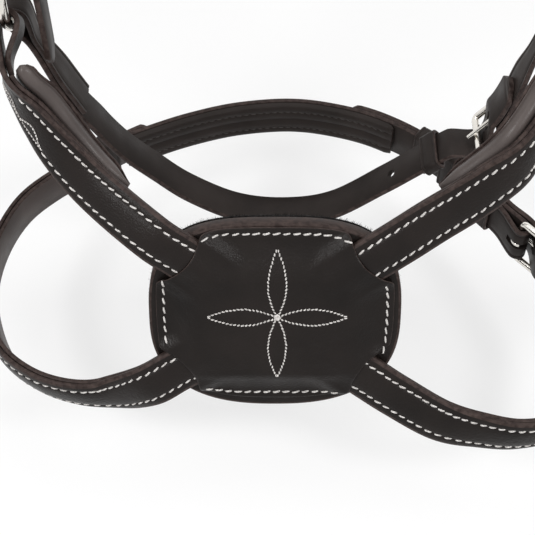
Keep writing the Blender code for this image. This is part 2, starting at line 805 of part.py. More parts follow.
def ring(name, x, parent):
    bpy.ops.mesh.primitive_torus_add(major_radius=ring_radius, minor_radius=ring_wire, major_segments=32,
                                     minor_segments=8, location=(0, 0, 0), rotation=(0, math.pi / 2, 0))
    piece = bpy.context.object
    piece.name = name
    piece.data.name = name
    piece.location = (x, ring_back, ring_up)
    smooth_faces(piece)
    return adopt(piece, "nickel", parent)


def crown_point(share):
    x, y, z = share
    return Vector((ring_shift + x * ring_half_span, ring_back + y * ring_radius, ring_up + z * crown_rise))


def build_crown(parent):
    sideways = Vector((0, 1, 0))
    half = crown_width / 2
    ring_half = ring_loop_width / 2
    pin_right = Vector((ring_right_x, ring_back, ring_up + ring_axis))
    stations = [(crown_point(share), sideways) for share in crown_shares]
    above = pin_right + (stations[-1][0] - pin_right).normalized() * (ring_lap + loop_approach)
    stations += [(above, sideways), (pin_right, sideways)]
    route = Route(stations, 1)
    bar = route.mark(4)
    base = second - seat
    dip = billet_offset(route, bar, 1, base)
    tip = bar - crown_tip_drop
    pointed = blend(half * 0.35, half, tip, tip + edge_bevel * 2)
    straight = route.length - ring_lap
    narrow = blend(half, ring_half, straight - loop_approach, straight)
    shape = lambda s: min(pointed(s), narrow(s))
    settle = blend(0.0, -seat, straight - loop_approach, straight)
    outer, bend, inner = turn(route, route.length, 0.0, ring_reach, ring_lap, ring_half, 1, -1)
    stations = run(route, tip, straight, lambda s: dip(s) + settle(s), shape, 0.0, billet_step)[:-1]
    stations = [station._replace(across=-station.across, out=-station.out) for station in stations]
    outer = [station._replace(across=-station.across) for station in outer]
    bend = [station._replace(across=-station.across) for station in bend]
    inner = [station._replace(across=-station.across) for station in inner]
    strap = loft("crown_strap", stations + outer + bend + inner, strap_profile, "leather", parent)
    ahead = bar + buckle_length
    cut_tongue_hole(strap, route, bar, 1, (dip(bar) + dip(ahead)) / 2, "crown_tongue_hole")
    cut_spare_holes(strap, route, [bar - hole_pitch * share for share in crown_hole_shares], 0.0)

    place, along, across, out = route.frame(bar)
    pin_bar = place + out * base
    pin_ring = Vector((ring_left_x, ring_back, ring_up + ring_axis))
    chape_route = Route([(pin_ring, sideways), ((pin_ring + pin_bar) / 2, sideways), (pin_bar, sideways)], 1)
    fold_low = turn(chape_route, 0.0, 0.0, ring_reach, crown_chape_lap, ring_half, -1)
    fold_high = turn(chape_route, chape_route.length, 0.0, reach, crown_chape_lap, half)
    chape = fold_low[2][::-1] + fold_low[1][::-1] + fold_low[0][::-1] + fold_high[0] + fold_high[1] + fold_high[2]
    piece = loft("crown_chape", chape, strap_profile, "leather", parent)
    cut_bar_slot(piece, chape_route, chape_route.length, 1, 0.0)
    buckle("crown", route, bar, 1, base, crown_width, parent)
    keeper("crown_keeper", route, bar - loop_approach - keeper_width / 2, crown_width,
           base - seat - ply / 2 - crown_lean, ply / 2, "leather", parent)


def jaw_point(share):
    x, z = share
    return Vector((ring_shift + x * ring_half_span, ring_back, ring_up - z * jaw_drop))


def build_jaw(parent):
    sideways = Vector((0, 1, 0))
    half = jaw_width / 2
    ring_half = ring_loop_width / 2
    base = second - seat
    pin_left = Vector((ring_left_x, ring_back, ring_up - ring_axis))
    pin_right = Vector((ring_right_x, ring_back, ring_up - ring_axis))
    stations = [(pin_left, sideways)] + [(jaw_point(share), sideways) for share in jaw_shares]
    bar_index = len(stations) - 2
    toward = pin_right - stations[-1][0]
    slope = math.atan2(toward.z, toward.x) - math.asin(base / toward.length)
    stations.append((pin_right + base * Vector((math.sin(slope), 0, -math.cos(slope))), sideways))
    route = Route(stations, -1)
    bar = route.mark(bar_index)
    dip = billet_offset(route, bar, -1, base)
    tip = bar + jaw_tip_length
    ahead = bar - buckle_length
    narrow = blend(ring_half, half, jaw_lap * jaw_taper_shares[0], jaw_lap * jaw_taper_shares[1])
    pointed = blend(half, half * 0.35, tip - edge_bevel * 2, tip)
    shape = lambda s: min(narrow(s), pointed(s))
    outer, bend, inner = turn(route, 0.0, 0.0, ring_reach, jaw_lap, ring_half, -1, -1)
    settle = blend(-seat, 0.0, jaw_lap, jaw_lap + loop_approach)
    widths = [narrow(jaw_lap * (1 - index / (len(outer) - 1))) for index in range(len(outer))]
    outer = [station._replace(half=width) for station, width in zip(outer, widths)]
    inner = [station._replace(half=width) for station, width in zip(inner, widths[::-1])]
    main = run(route, jaw_lap, tip, lambda s: dip(s) + settle(s), shape, 0.0, billet_step)[1:]
    main = [station._replace(out=-station.out) for station in main]
    strap = loft("jaw_strap", inner[::-1] + bend[::-1] + outer[::-1] + main, strap_profile, "leather", parent)
    cut_tongue_hole(strap, route, bar, -1, (dip(bar) + dip(ahead)) / 2, "jaw_tongue_hole")
    cut_spare_holes(strap, route, [ahead - hole_pitch * share for share in jaw_hole_shares], 0.0)

    fold_low = turn(route, bar, base, reach, bar_lap, half, -1)
    fold_high = turn(route, route.length, base, ring_reach, bar_lap, ring_half)
    between = run(route, bar + bar_lap, route.length - bar_lap, base + seat,
                  blend(half, ring_half, bar + bar_lap, route.length - bar_lap))
    chape = fold_low[2][::-1] + fold_low[1][::-1] + fold_low[0][::-1] + between[1:-1]
    piece = loft("jaw_chape", chape + fold_high[0] + fold_high[1] + fold_high[2], strap_profile, "leather", parent)
    cut_bar_slot(piece, route, bar, -1, base)
    buckle("jaw", route, bar, -1, base, jaw_width, parent)
    keeper("jaw_keeper", route, ahead - dip_run - keeper_width, jaw_width, -ply / 2, ply / 2, "leather", parent)


def main():
    start_scene()
    make_materials()
    crown_frame = make_empty("crown_frame", -crown_rest)
    ring_middle = Vector((ring_shift, ring_back, ring_up))
    noseband_swing = make_empty("noseband_swing", ring_middle, parent=crown_frame)
    noseband_frame = make_empty("noseband_frame", -ring_middle, parent=noseband_swing)
    jaw_swing = make_empty("jaw_swing", ring_middle, parent=noseband_frame)
    jaw_frame = make_empty("jaw_frame", -ring_middle, parent=jaw_swing)
    pad = make_empty("pad_frame", (0, pad_lift * math.sin(pad_lean), pad_lift * math.cos(pad_lean)),
                     (pad_turn, 0, 0), noseband_frame)
    bpy.context.view_layer.update()
    pad_matrix = Matrix.Translation(pad.location) @ Matrix.Rotation(pad_turn, 4, "X")
    build_pad(pad)
    for side in (-1, 1):
        build_upper_arm(side, pad_matrix, noseband_frame)
    build_lower_loop(pad_matrix, noseband_frame)
    ring("cheek_ring_left", ring_left_x, noseband_frame)
    ring("cheek_ring_right", ring_right_x, noseband_frame)
    build_crown(crown_frame)
    build_jaw(jaw_frame)
    bpy.context.view_layer.update()


main()
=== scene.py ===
"""Looks of the figure-of-eight noseband: stitched leather straps, an embroidered nose pad,
fleece, padded rolls and chin band, nickel rings and buckles, and the studio round them."""
import math
import random
from bisect import bisect_right
from collections import namedtuple
from itertools import accumulate

import bmesh
import bpy
from mathutils import Matrix, Vector, noise


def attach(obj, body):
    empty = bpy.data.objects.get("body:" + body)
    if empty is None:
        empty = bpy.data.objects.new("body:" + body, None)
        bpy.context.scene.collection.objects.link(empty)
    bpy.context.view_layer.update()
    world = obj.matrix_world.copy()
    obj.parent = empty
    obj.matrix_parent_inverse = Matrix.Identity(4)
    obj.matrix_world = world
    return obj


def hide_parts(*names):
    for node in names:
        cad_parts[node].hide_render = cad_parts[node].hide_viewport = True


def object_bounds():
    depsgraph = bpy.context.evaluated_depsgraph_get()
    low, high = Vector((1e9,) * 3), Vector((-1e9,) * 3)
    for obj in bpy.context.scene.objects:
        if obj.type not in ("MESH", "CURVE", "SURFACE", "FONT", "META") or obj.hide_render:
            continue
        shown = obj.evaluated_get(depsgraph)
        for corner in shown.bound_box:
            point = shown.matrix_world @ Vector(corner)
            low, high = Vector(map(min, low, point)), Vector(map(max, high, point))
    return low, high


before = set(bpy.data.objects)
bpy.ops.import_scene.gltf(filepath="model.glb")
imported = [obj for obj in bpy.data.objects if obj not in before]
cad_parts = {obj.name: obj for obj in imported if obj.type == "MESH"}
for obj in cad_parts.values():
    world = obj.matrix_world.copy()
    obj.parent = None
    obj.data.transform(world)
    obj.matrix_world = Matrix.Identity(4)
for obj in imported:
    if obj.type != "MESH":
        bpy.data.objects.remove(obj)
cad_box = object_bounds()

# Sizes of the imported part, in metres
ply = 0.0022
strap_width = 0.019
strap_edge = 0.0015
strap_crown = 0.0032
lining_thickness = 0.0018
lining_inset = 0.0004
gap = 0.0003

pad_lean = math.radians(28.4)
pad_lift = 0.003
cover_width = 0.094
cover_height = 0.0766
cover_shift = 0.0008
cover_powers = (3.4, 2.8)
cover_rim = 0.0016
cover_crown = 0.0072
cover_slope_upper = 0.019
cover_slope_lower = 0.011
corner_cut_upper = (0.0545, 0.0410, 0.0260)
corner_cut_lower = (0.0515, -0.0337, 0.0212)
base_width = 0.1008
base_height = 0.0824
base_thickness = 0.0075
base_shift = -0.0010
base_powers = (3.0, 2.5)
fleece_width = 0.1004
fleece_height = 0.0818
fleece_thickness = 0.0020

arm_angle_upper_left = math.radians(37)
arm_angle_upper_right = math.radians(35)
arm_angle_lower_left = math.radians(-31)
arm_angle_lower_right = math.radians(-36)
arm_places = (0.029, 0.046, 0.061)

ring_radius = 0.0185
ring_wire = 0.00225
ring_back = 0.092
ring_up = 0.099
ring_half_span = 0.106
ring_shift = 0.005
ring_loop_width = 0.0105
ring_play = 0.0009
upper_left_ring_angle = math.radians(217)
upper_right_ring_angle = math.radians(202)
ring_lap = 0.024
arm_lap = 0.020
ring_lean = 0.8
twist_power = 2.2
loop_approach = 0.015

roll_width = 0.0205
roll_thickness = 0.0075
roll_start = 0.053
roll_end_clear = 0.002

loop_half_width = 0.133
loop_back = 0.1475
loop_drop = 0.0375
chin_band_width = 0.0195
chin_padding_thickness = 0.0032
chin_lap_left = 0.016
chin_tip_overlap = 0.112

buckle_wire = 0.0016
buckle_length = 0.0165
buckle_play = 0.0012
buckle_tilt = math.radians(12)
bar_play = 0.00035
bar_lap = 0.022
fold_clear = 0.0008
dip_run = 0.011
tongue_wire = 0.0010
tongue_play = 0.0003
tongue_slot_play = 0.0007
hole_width = 0.0036
hole_length = 0.0100
hole_pitch = 0.019
keeper_width = 0.0085
keeper_thickness = 0.0016
keeper_play = 0.0006

crown_width = 0.0125
crown_rise = 0.300
crown_tip_drop = 0.096
crown_lean = 0.0016
jaw_width = 0.016
jaw_drop = 0.146
jaw_lap = 0.055
crown_chape_lap = 0.017
jaw_tip_length = 0.020
edge_bevel = 0.0025


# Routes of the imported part, as shares of the sizes above
def standing(*spots):
    """Places on the lower loop's lowest level, where the strap stands upright."""
    return tuple(((x, y, -1.0), (0.0, 0.0, 1.0)) for x, y in spots)


lower_left_shares = (
    ((-0.52, -0.09, -0.96), (-0.12, 0.06, 0.98)),
    ((-0.64, -0.08, -1.0), (-0.05, -0.10, 0.99)),
    ((-0.76, -0.04, -1.0), (-0.12, -0.12, 0.98)),
    ((-0.865, 0.04, -1.0), (-0.18, -0.06, 0.98)),
    ((-0.93, 0.16, -1.0), (-0.14, 0.0, 0.99)),
    ((-0.96, 0.30, -1.0), (-0.06, 0.0, 1.0)),
) + standing((-0.94, 0.45), (-0.88, 0.585), (-0.78, 0.685), (-0.66, 0.765))
chin_shares = standing(
    (-0.55, 0.84), (-0.43, 0.895), (-0.31, 0.94), (-0.165, 0.98), (-0.015, 1.0), (0.105, 1.0),
    (0.225, 0.98), (0.345, 0.945), (0.45, 0.895), (0.55, 0.83), (0.64, 0.755), (0.72, 0.665),
    (0.80, 0.57), (0.865, 0.475))
lower_right_shares = standing(
    (0.925, 0.37), (0.98, 0.265), (1.03, 0.14), (1.035, 0.01), (0.985, -0.10), (0.895, -0.185)
) + (
    ((0.76, -0.215, -1.0), (0.03, 0.06, 1.0)),
    ((0.63, -0.20, -1.0), (0.10, 0.22, 0.96)),
    ((0.51, -0.175, -0.945), (0.25, 0.42, 0.86)),
)
upper_left_shares = ((-0.549, 0.244, 1.16), (-0.677, 0.336, 1.58))
upper_right_shares = ((0.45, 0.125, 1.10), (0.60, 0.155, 1.52), (0.715, 0.207, 1.87))
crown_shares = (
    (-0.862, -1.0, -0.13), (-0.872, -0.70, 0.0), (-0.905, -0.20, 0.09), (-0.926, 0.0, 0.155),
    (-0.931, 0.0, 0.22), (-0.930, 0.0, 0.31), (-0.915, 0.0, 0.437), (-0.80, 0.0, 0.637),
    (-0.58, 0.0, 0.83), (-0.31, 0.0, 0.955), (0.0, 0.0, 1.0), (0.31, 0.0, 0.955),
    (0.58, 0.0, 0.83), (0.80, 0.0, 0.637), (0.94, 0.0, 0.437), (0.99, 0.0, 0.27))
jaw_shares = (
    (-0.81, 0.4771), (-0.69, 0.6490), (-0.55, 0.7726), (-0.41, 0.8788), (-0.21, 0.9740), (0, 1.0),
    (0.21, 0.9651), (0.425, 0.8354), (0.54, 0.7581), (0.645, 0.6857), (0.745, 0.6229),
    (0.85, 0.5312), (0.877, 0.4056))
jaw_taper_shares = (0.3, 0.7)
crown_hole_shares = (1.5, 2.5, 3.5)
jaw_hole_shares = (1.2, 2.2)
chin_hole_shares = (2, 3, 4)

# What follows from the sizes above
seat = (ply + gap) / 2
under = -(ply / 2 + gap + lining_thickness / 2)
second = -(ply + gap)
base = second - seat
arm_seat = gap + lining_thickness + gap + ply / 2
ring_hole = ring_wire + ring_play
reach = buckle_wire + bar_play + ply / 2
ring_reach = ring_hole + ply / 2
ring_axis = math.sqrt(ring_radius ** 2 - (ring_loop_width / 2) ** 2) / 2 + ring_radius / 2
ring_left_x = ring_shift - ring_half_span
ring_right_x = ring_shift + ring_half_span
crown_rest = Vector((ring_shift, ring_back, ring_up + crown_rise - ply / 2))
rearward = Vector((0, 1, 0))
arms = {-1: (arm_angle_upper_left, upper_left_ring_angle, ring_left_x, upper_left_shares),
        1: (arm_angle_upper_right, upper_right_ring_angle, ring_right_x, upper_right_shares)}
arm_lines = ((-1, arm_angle_upper_left), (1, arm_angle_upper_right), (-1, arm_angle_lower_left),
             (1, arm_angle_lower_right))
pad_matrix = (Matrix.Translation((0, pad_lift * math.sin(pad_lean), pad_lift * math.cos(pad_lean)))
              @ Matrix.Rotation(math.pi / 2 - pad_lean, 4, "X"))
pad_tilt = pad_matrix.to_3x3()

# Looks: how fine the steps are
fine = 0.0016
route_detail = 24
bend_steps = 16
cover_rings, cover_spokes, under_step = 84, 380, 4
curve_steps = 40
bow_steps = 60
oval_steps = 120
ring_steps = 96
slope_step = 0.0008

# Looks: stitches, in rows, on the pad and in the scallops
stitch_pitch, stitch_length, stitch_radius = 0.0040, 0.0033, 0.00040
chin_stitch_pitch, chin_stitch_length, chin_stitch_share = 0.0036, 0.0028, 0.8
stitch_slant = math.radians(12)
stitch_sides = 7
thread_lift = 0.35
thread_turn = math.radians(2.5)
thread_shift = 0.00006
thread_lengths = (0.90, 1.05)
thread_radii = (0.88, 1.08)
row_share = 0.605
row_level = 0.40
row_start = 0.0095
row_top = (-0.0290, 0.0298, 0.0366, 0.0352, 0.0338)
row_bottom = (-0.0285, 0.0262, -0.0348, -0.0318, -0.0336)
row_left = (-0.0115, 0.0178, -0.0440, -0.0432, -0.0438)
row_right = (-0.0160, 0.0158, 0.0446, 0.0428, 0.0432)
scallop_start = 0.0850
scallop_length = 0.0145
scallop_count = 2
scallop_base = -0.0046
scallop_rise = 0.0042
scallop_lean = 1.6
petal_length = 0.0275
petal_half_width = 0.0036
petal_pitch, petal_stitch, petal_radius = 0.00150, 0.00135, 0.00030
petal_slant = stitch_slant * 1.6
petal_blunt = 0.9
knot_stitches, knot_radius, knot_turn = 16, 0.0012, 0.618
ornament_centre = (0.0008, 0.0030)
seed = 7

# Looks: the pad's cover, drawn tight over the straps and dimpled along its row
cover_skin = 0.0010
cover_margin = 0.0034
cover_softness = 0.0022
cover_hollow = 0.12
cover_row, row_groove, row_groove_width = 0.0026, 0.00030, 0.0007
rim_drop = 0.00018
corner_spread, corner_samples = math.radians(1.6), 3
tent_start = 0.014
tent_rise = 0.014
tent_fall = 0.0100
tent_softness = 0.0007
pucker_start, pucker_run = 0.002, 0.004
puckers = ((0, 140, 0.00016), (4, 330, 0.00005))
base_round = 0.0012

# Looks: fleece, soft pieces, tips and creases
fibre_count, fibre_length, fibre_width = 5600, 0.0022, 0.00016
fibre_root, fibre_sink = 0.0008, 0.0002
fibre_cycle, fibre_on_back, fibre_field = 5, 3, 0.97
fibre_spread, fibre_edge_spread, fibre_curl = 0.6, 0.5, 0.35
fibre_depths, fibre_lengths = (0.06, 0.94), (0.5, 1.0)
fibre_taper = ((0.0, 1.0), (0.5, 0.8), (1.0, 0.25))
slab_layers = 9
fleece_round = fleece_thickness * 0.42
roll_waist, roll_swell_start, roll_swell_end = 0.8, 0.25, 0.45
chin_waist, chin_swell = 0.9, 0.4
chin_row_clear, chin_row_depth, chin_row_share = 0.004, 0.34, 0.56
pointed_tip, blunt_tip = 0.35, 0.55
tongue_spot = 0.30
tongue_bend_start, tongue_bend = -50, 220
eye_steps, tongue_steps = 16, 12
frame_corner, frame_corner_steps = 1.25, 6
keeper_corner, keeper_clear = 0.6, 1.6
crease_depth = 0.0003
edge_round = 0.0004
edge_burnish, face_burnish = 0.95, 0.87
roll_cut_low, roll_cut_right, roll_cut_left = -0.99, -0.73, -0.70

# Sections: shares of the half width, then of the height (or how deep a crease goes)
raised_shares = ((0.985, 0.0), (0.955, 0.10), (0.87, 0.34), (0.74, 0.50), (0.655, 0.52), (0.625, 0.44),
                 (row_share, row_level), (0.585, 0.46), (0.555, 0.60), (0.48, 0.76), (0.32, 0.92),
                 (0.16, 0.985), (0.0, 1.0))
crease_shares = ((0.97, 0.0), (0.90, 0.0), (0.84, 0.0), (0.80, 0.6), (0.775, 1.0), (0.75, 0.6),
                 (0.71, 0.0), (0.35, 0.0), (0.0, 0.0))
roll_shares = ((0.0, 1.0), (0.55, 1.0), (0.80, 0.93), (0.93, 0.72), (0.99, 0.40), (1.0, 0.08),
               (0.98, -0.22), (0.94, -0.46), (0.90, -0.62), (0.91, -0.72), (0.985, -0.75), (1.0, -0.86),
               (0.985, -0.98), (0.90, -1.0))
chin_pad_shares = ((0.98, -0.2), (0.90, -0.75), (0.72, -0.98), (0.60, -0.80), (0.56, -0.62), (0.52, -0.80),
                   (0.36, -1.0), (0.18, -0.92), (0.05, -0.45), (0.0, -0.35))
capsule_rings = ((-0.50, -1.3, 0.35), (-0.46, -0.6, 0.80), (-0.30, 0.05, 1.0), (0.0, 0.35, 1.08),
                 (0.30, 0.05, 1.0), (0.46, -0.6, 0.80), (0.50, -1.3, 0.35))
cover_edge_layers = ((0.0004, 0.0, 1.004), (0.0, 0.75, 1.004), (0.0, 1.0, 0.998))

# Studio: name, place, size and power of each lamp, then the light of the world and the floor
lamps = (
    ("key", (-0.50, -0.42, 0.30), 0.24, 2.8),
    ("side", (0.50, -0.42, 0.30), 0.24, 2.5),
    ("top", (0.0, 0.20, 0.85), 0.8, 2.9),
)
lamp_aim = Vector((0, -0.05, -0.40))
world_light = 0.60
floor_glow = 0.55
floor_size, floor_color, floor_rough = 6.0, (0.95, 0.95, 0.95), 0.9
swing_clear = 0.048
white = (1.0, 1.0, 1.0, 1.0)
camera_place = (-0.008, -0.3609, 0.0242)
camera_look = Vector((0, 0.5736, -0.8192))
camera_lens, camera_sensor, camera_clip = 84.11, 36.0, (0.01, 20.0)

Station = namedtuple("Station", "pos across out half raised")
LEATHER, EDGE = 0, 1


# Routes
def ease(share):
    share = min(max(share, 0.0), 1.0)
    return share * share * (3.0 - 2.0 * share)


def value(rule, s):
    return rule(s) if callable(rule) else rule


def blend(first, last, begin, end):
    """A value that passes smoothly from first to last between two places on a route."""
    return lambda s: first + (last - first) * ease((s - begin) / (end - begin))


def cushion(begin, end, run_in, run_out, at_begin, at_end):
    """How full a padded piece is: part full at its ends, swelling over a distance at each."""
    return lambda s: min(ease((s - begin) / run_in + at_begin), ease((end - s) / run_out + at_end))


class Route:
    """A smooth line through stations, each a place and the direction across the strap there."""

    def __init__(self, stations, side):
        self.side, self.spots, self.marks = side, [], []
        ends = [(2 * end[0] - near[0], end[1])
                for end, near in (stations[:2], stations[:-3:-1])]
        padded = [ends[0], *stations, ends[1]]
        for index in range(len(stations) - 1):
            self.marks.append(len(self.spots))
            fours = list(zip(*padded[index:index + 4]))
            self.spots += [[self.spline(four, step / route_detail) for four in fours]
                           for step in range(route_detail)]
        self.marks.append(len(self.spots))
        self.spots.append(stations[-1])
        gaps = [(after[0] - before[0]).length for before, after in zip(self.spots, self.spots[1:])]
        self.reached = list(accumulate(gaps, initial=0.0))
        self.length = self.reached[-1]

    @staticmethod
    def spline(points, t):
        a, b, c, d = points
        return 0.5 * (2 * b + (c - a) * t + (2 * a - 5 * b + 4 * c - d) * t ** 2
                      + (3 * b - a - 3 * c + d) * t ** 3)

    def mark(self, index):
        return self.reached[self.marks[index]]

    def frame(self, s):
        """Place, direction along, direction across and direction out at distance s."""
        s = min(max(s, 0.0), self.length)
        low = min(bisect_right(self.reached, s) - 1, len(self.reached) - 2)
        share = (s - self.reached[low]) / (self.reached[low + 1] - self.reached[low])
        (place, across), (next_place, next_across) = self.spots[low:low + 2]
        along = self.tangent(low).lerp(self.tangent(low + 1), share).normalized()
        across = across.lerp(next_across, share)
        across = (across - along * across.dot(along)).normalized()
        return place.lerp(next_place, share), along, across, self.side * across.cross(along)

    def tangent(self, index):
        high = min(index + 1, len(self.spots) - 1)
        return (self.spots[high][0] - self.spots[max(index - 1, 0)][0]).normalized()


def run(route, begin, end, offset, half, raised=0.0):
    """Stations of a strap that follows a route at an offset along its out direction."""
    count = max(2, round((end - begin) / fine))
    made = []
    for index in range(count + 1):
        s = begin + (end - begin) * index / count
        place, along, across, out = route.frame(s)
        made.append(Station(place + out * value(offset, s), across, out, value(half, s), value(raised, s)))
    return made


def turn(route, pin, level, hole_reach, lap, half, heading=1, sign=1):
    """A strap end folded round a pin: the ply that arrives, the bend and the ply that returns."""
    steps = max(6, round(lap / fine))
    arriving = []
    for index in range(steps + 1):
        back = lap * (1 - index / steps)
        place, along, across, out = route.frame(pin - heading * back)
        arriving.append((place, across, out, seat + (hole_reach - seat) * ease(1 - back / loop_approach)))
    outer = [Station(p + o * (level + sign * lift), a, sign * o, half, 0.0) for p, a, o, lift in arriving]
    inner = [Station(p + o * (level - sign * lift), a, -sign * o, half, 0.0)
             for p, a, o, lift in arriving[::-1]]
    place, along, across, out = route.frame(pin)
    bend = []
    for index in range(1, bend_steps):
        angle = math.pi / 2 - math.pi * index / bend_steps
        facing = heading * along * math.cos(angle) + sign * out * math.sin(angle)
        bend.append(Station(place + out * level + facing * hole_reach, across, facing, half, 0.0))
    return outer, bend, inner


def backwards(folded):
    """A folded end's stations from its tip back to where it arrives."""
    return [station for part in folded[::-1] for station in part[::-1]]


def billet_offset(route, bar, heading):
    """How a strap dips under the far bar and climbs over the folded end at the heel bar."""
    over = base + reach + ply / 2 + fold_clear + ply / 2
    far = buckle_length * math.cos(buckle_tilt)
    place, along, across, out = route.frame(bar)
    far_bar = place + out * (base + buckle_length * math.sin(buckle_tilt)) + along * heading * far
    beneath, along, across, out = route.frame(bar + heading * far)
    below = (far_bar - beneath).dot(out) - (buckle_wire + buckle_play + ply / 2) / math.cos(buckle_tilt)

    def offset(s):
        ahead = (s - bar) * heading
        if ahead < 0:
            return over * (1 - ease(-ahead / loop_approach))
        if ahead < far:
            return over + (below - over) * ease(ahead / far)
        return below * (1 - ease((ahead - far) / dip_run))
    return offset


def pad_stations(side, angle):
    along = Vector((side * math.cos(angle), math.sin(angle), 0))
    up = Vector((-side * math.sin(angle), math.cos(angle), 0))
    return [(pad_matrix @ (along * far + Vector((0, 0, arm_seat))), pad_tilt @ up) for far in arm_places]


def loop_point(share):
    x, y, z = share
    return Vector((x * loop_half_width, y * loop_back, z * loop_drop))


def ring_pin(x, way):
    """Where a strap end turns on a ring, above its middle or below."""
    return Vector((x, ring_back, ring_up + way * ring_axis))


def upper_route(side):
    angle, ring_angle, x, shares = arms[side]
    centre = Vector((x, ring_back, ring_up))
    spoke = Vector((0, math.cos(ring_angle), math.sin(ring_angle)))
    tangent = Vector((0, math.sin(ring_angle), -math.cos(ring_angle)))
    stations = pad_stations(side, angle)
    up = stations[-1][1]
    for index, share in enumerate(shares):
        lean = ((index + 1) / (len(shares) + 1)) ** twist_power
        stations.append((loop_point(share), up.lerp(tangent, lean).normalized()))
    stations.append((centre + spoke * (ring_axis + arm_lap), up.lerp(tangent, ring_lean).normalized()))
    return Route(stations + [(centre + spoke * ring_axis, tangent)], -side)


def lower_route():
    stations = pad_stations(-1, arm_angle_lower_left)
    for share, across in lower_left_shares + chin_shares + lower_right_shares:
        stations.append((loop_point(share), Vector(across).normalized()))
    return Route(stations + pad_stations(1, arm_angle_lower_right)[::-1], 1)


def crown_route():
    pin = ring_pin(ring_right_x, 1)
    places = [Vector((ring_shift + x * ring_half_span, ring_back + y * ring_radius, ring_up + z * crown_rise))
              for x, y, z in crown_shares]
    above = pin + (places[-1] - pin).normalized() * (ring_lap + loop_approach)
    return Route([(place, rearward) for place in places + [above, pin]], 1)


def jaw_route():
    pin = ring_pin(ring_right_x, -1)
    places = [ring_pin(ring_left_x, -1)]
    places += [Vector((ring_shift + x * ring_half_span, ring_back, ring_up - z * jaw_drop))
               for x, z in jaw_shares]
    toward = pin - places[-1]
    slope = math.atan2(toward.z, toward.x) - math.asin(base / toward.length)
    places.append(pin + base * Vector((math.sin(slope), 0, -math.cos(slope))))
    return Route([(place, rearward) for place in places], -1)


# Materials
def fill(tree, node, sockets):
    """Sets each named socket to a value, or links another node's output to it."""
    for name, item in sockets.items():
        if isinstance(item, bpy.types.NodeSocket):
            tree.links.new(item, node.inputs[name])
        else:
            node.inputs[name].default_value = item


def add_node(tree, kind, sockets, output, **options):
    """A new node's output, after its sockets are filled and its options are set."""
    node = tree.nodes.new("ShaderNode" + kind)
    for name, option in options.items():
        setattr(node, name, option)
    fill(tree, node, sockets)
    return node.outputs[output]


def new_material(name, color, roughness, metallic=0.0):
    material = bpy.data.materials.new(name)
    material.use_nodes = True
    tree = material.node_tree
    shader = tree.nodes["Principled BSDF"]
    fill(tree, shader, {"Base Color": (*color, 1.0), "Roughness": roughness, "Metallic": metallic})
    material.diffuse_color = (*color, 1.0)
    return material, tree, shader


def add_noise(tree, scale, detail=3.0, distortion=0.0):
    """A noise of so many grains to the metre, in the part's own coordinates."""
    place = add_node(tree, "TexCoord", {}, "Object")
    return add_node(tree, "TexNoise", {"Scale": scale, "Detail": detail, "Distortion": distortion,
                                       "Vector": place}, "Fac")


def add_ramp(tree, fac, low, high, start=0.3, end=0.7):
    color = add_node(tree, "ValToRGB", {"Fac": fac}, "Color")
    for stop, position, shade in zip(color.node.color_ramp.elements, (start, end), (low, high)):
        stop.position, stop.color = position, (*shade, 1.0)
    return color


def add_range(tree, fac, low, high):
    return add_node(tree, "MapRange", {"From Min": 0.3, "From Max": 0.7, "To Min": low, "To Max": high,
                                       "Value": fac}, "Result")


def add_bump(tree, shader, height, strength, distance):
    normal = add_node(tree, "Bump", {"Strength": strength, "Distance": distance, "Height": height}, "Normal")
    fill(tree, shader, {"Normal": normal})


def leather(name, dark, light, rough, grain=1400, depth=0.00012, strength=0.35, polish=0.12):
    """Aniline leather: cloudy colour, fine pebbled grain and a patchy polish."""
    material, tree, shader = new_material(name, dark, rough[0])
    cells = add_node(tree, "TexVoronoi", {"Scale": grain, "Vector": add_node(tree, "TexCoord", {}, "Object")},
                     "Distance")
    fill(tree, shader, {"Specular IOR Level": polish,
                        "Base Color": add_ramp(tree, add_noise(tree, 38, 4.0), dark, light),
                        "Roughness": add_range(tree, add_noise(tree, 90), *rough)})
    pebbles = add_node(tree, "Math", {0: cells, 1: -0.6, 2: add_noise(tree, grain * 0.45, 5.0)}, "Value",
                       operation="MULTIPLY_ADD")
    add_bump(tree, shader, pebbles, strength, depth)
    return material


def burnished(name, dark, light):
    """A cut leather edge: brown, drawn-out fibres under polish."""
    material, tree, shader = new_material(name, dark, 0.42)
    streak = add_noise(tree, 420, 5.0, 0.6)
    fill(tree, shader, {"Specular IOR Level": 0.13,
                        "Base Color": add_ramp(tree, streak, dark, light, 0.35, 0.68),
                        "Roughness": add_range(tree, streak, 0.38, 0.58)})
    add_bump(tree, shader, streak, 0.4, 0.0002)
    return material


def thread(name, dark, light):
    """Waxed linen thread, with painted shade of its twist: random darker patches in its colour, from the same
    noise that bumps it.
    """
    material, tree, shader = new_material(name, light, 0.6)
    twist_shade_and_bump = add_noise(tree, 2600, 2.0)
    # Painted shade: the twist noise darkens the thread's colour in random patches, standing in for the shade
    # between its plies.
    fill(tree, shader, {"Base Color": add_ramp(tree, twist_shade_and_bump, dark, light, 0.38, 0.62)})
    add_bump(tree, shader, twist_shade_and_bump, 0.4, 0.0001)
    return material


def plated(name):
    """Polished nickel plate with faint handling marks."""
    material, tree, shader = new_material(name, (0.80, 0.77, 0.72), 0.16, 1.0)
    smear = add_noise(tree, 160, 4.0)
    fill(tree, shader, {"Roughness": add_range(tree, smear, 0.12, 0.26),
                        "Base Color": add_ramp(tree, smear, (0.72, 0.69, 0.64), (0.86, 0.83, 0.78))})
    add_bump(tree, shader, add_noise(tree, 900), 0.05, 0.0001)
    return material


def fleecy(name):
    """Short black pile."""
    material, tree, shader = new_material(name, (0.010, 0.009, 0.009), 0.95)
    pile = add_noise(tree, 700, 5.0)
    fill(tree, shader, {"Specular IOR Level": 0.07, "Sheen Weight": 0.05, "Sheen Roughness": 0.5,
                        "Base Color": add_ramp(tree, pile, (0.004, 0.0035, 0.0035), (0.018, 0.016, 0.0155))})
    add_bump(tree, shader, pile, 0.9, 0.0012)
    return material


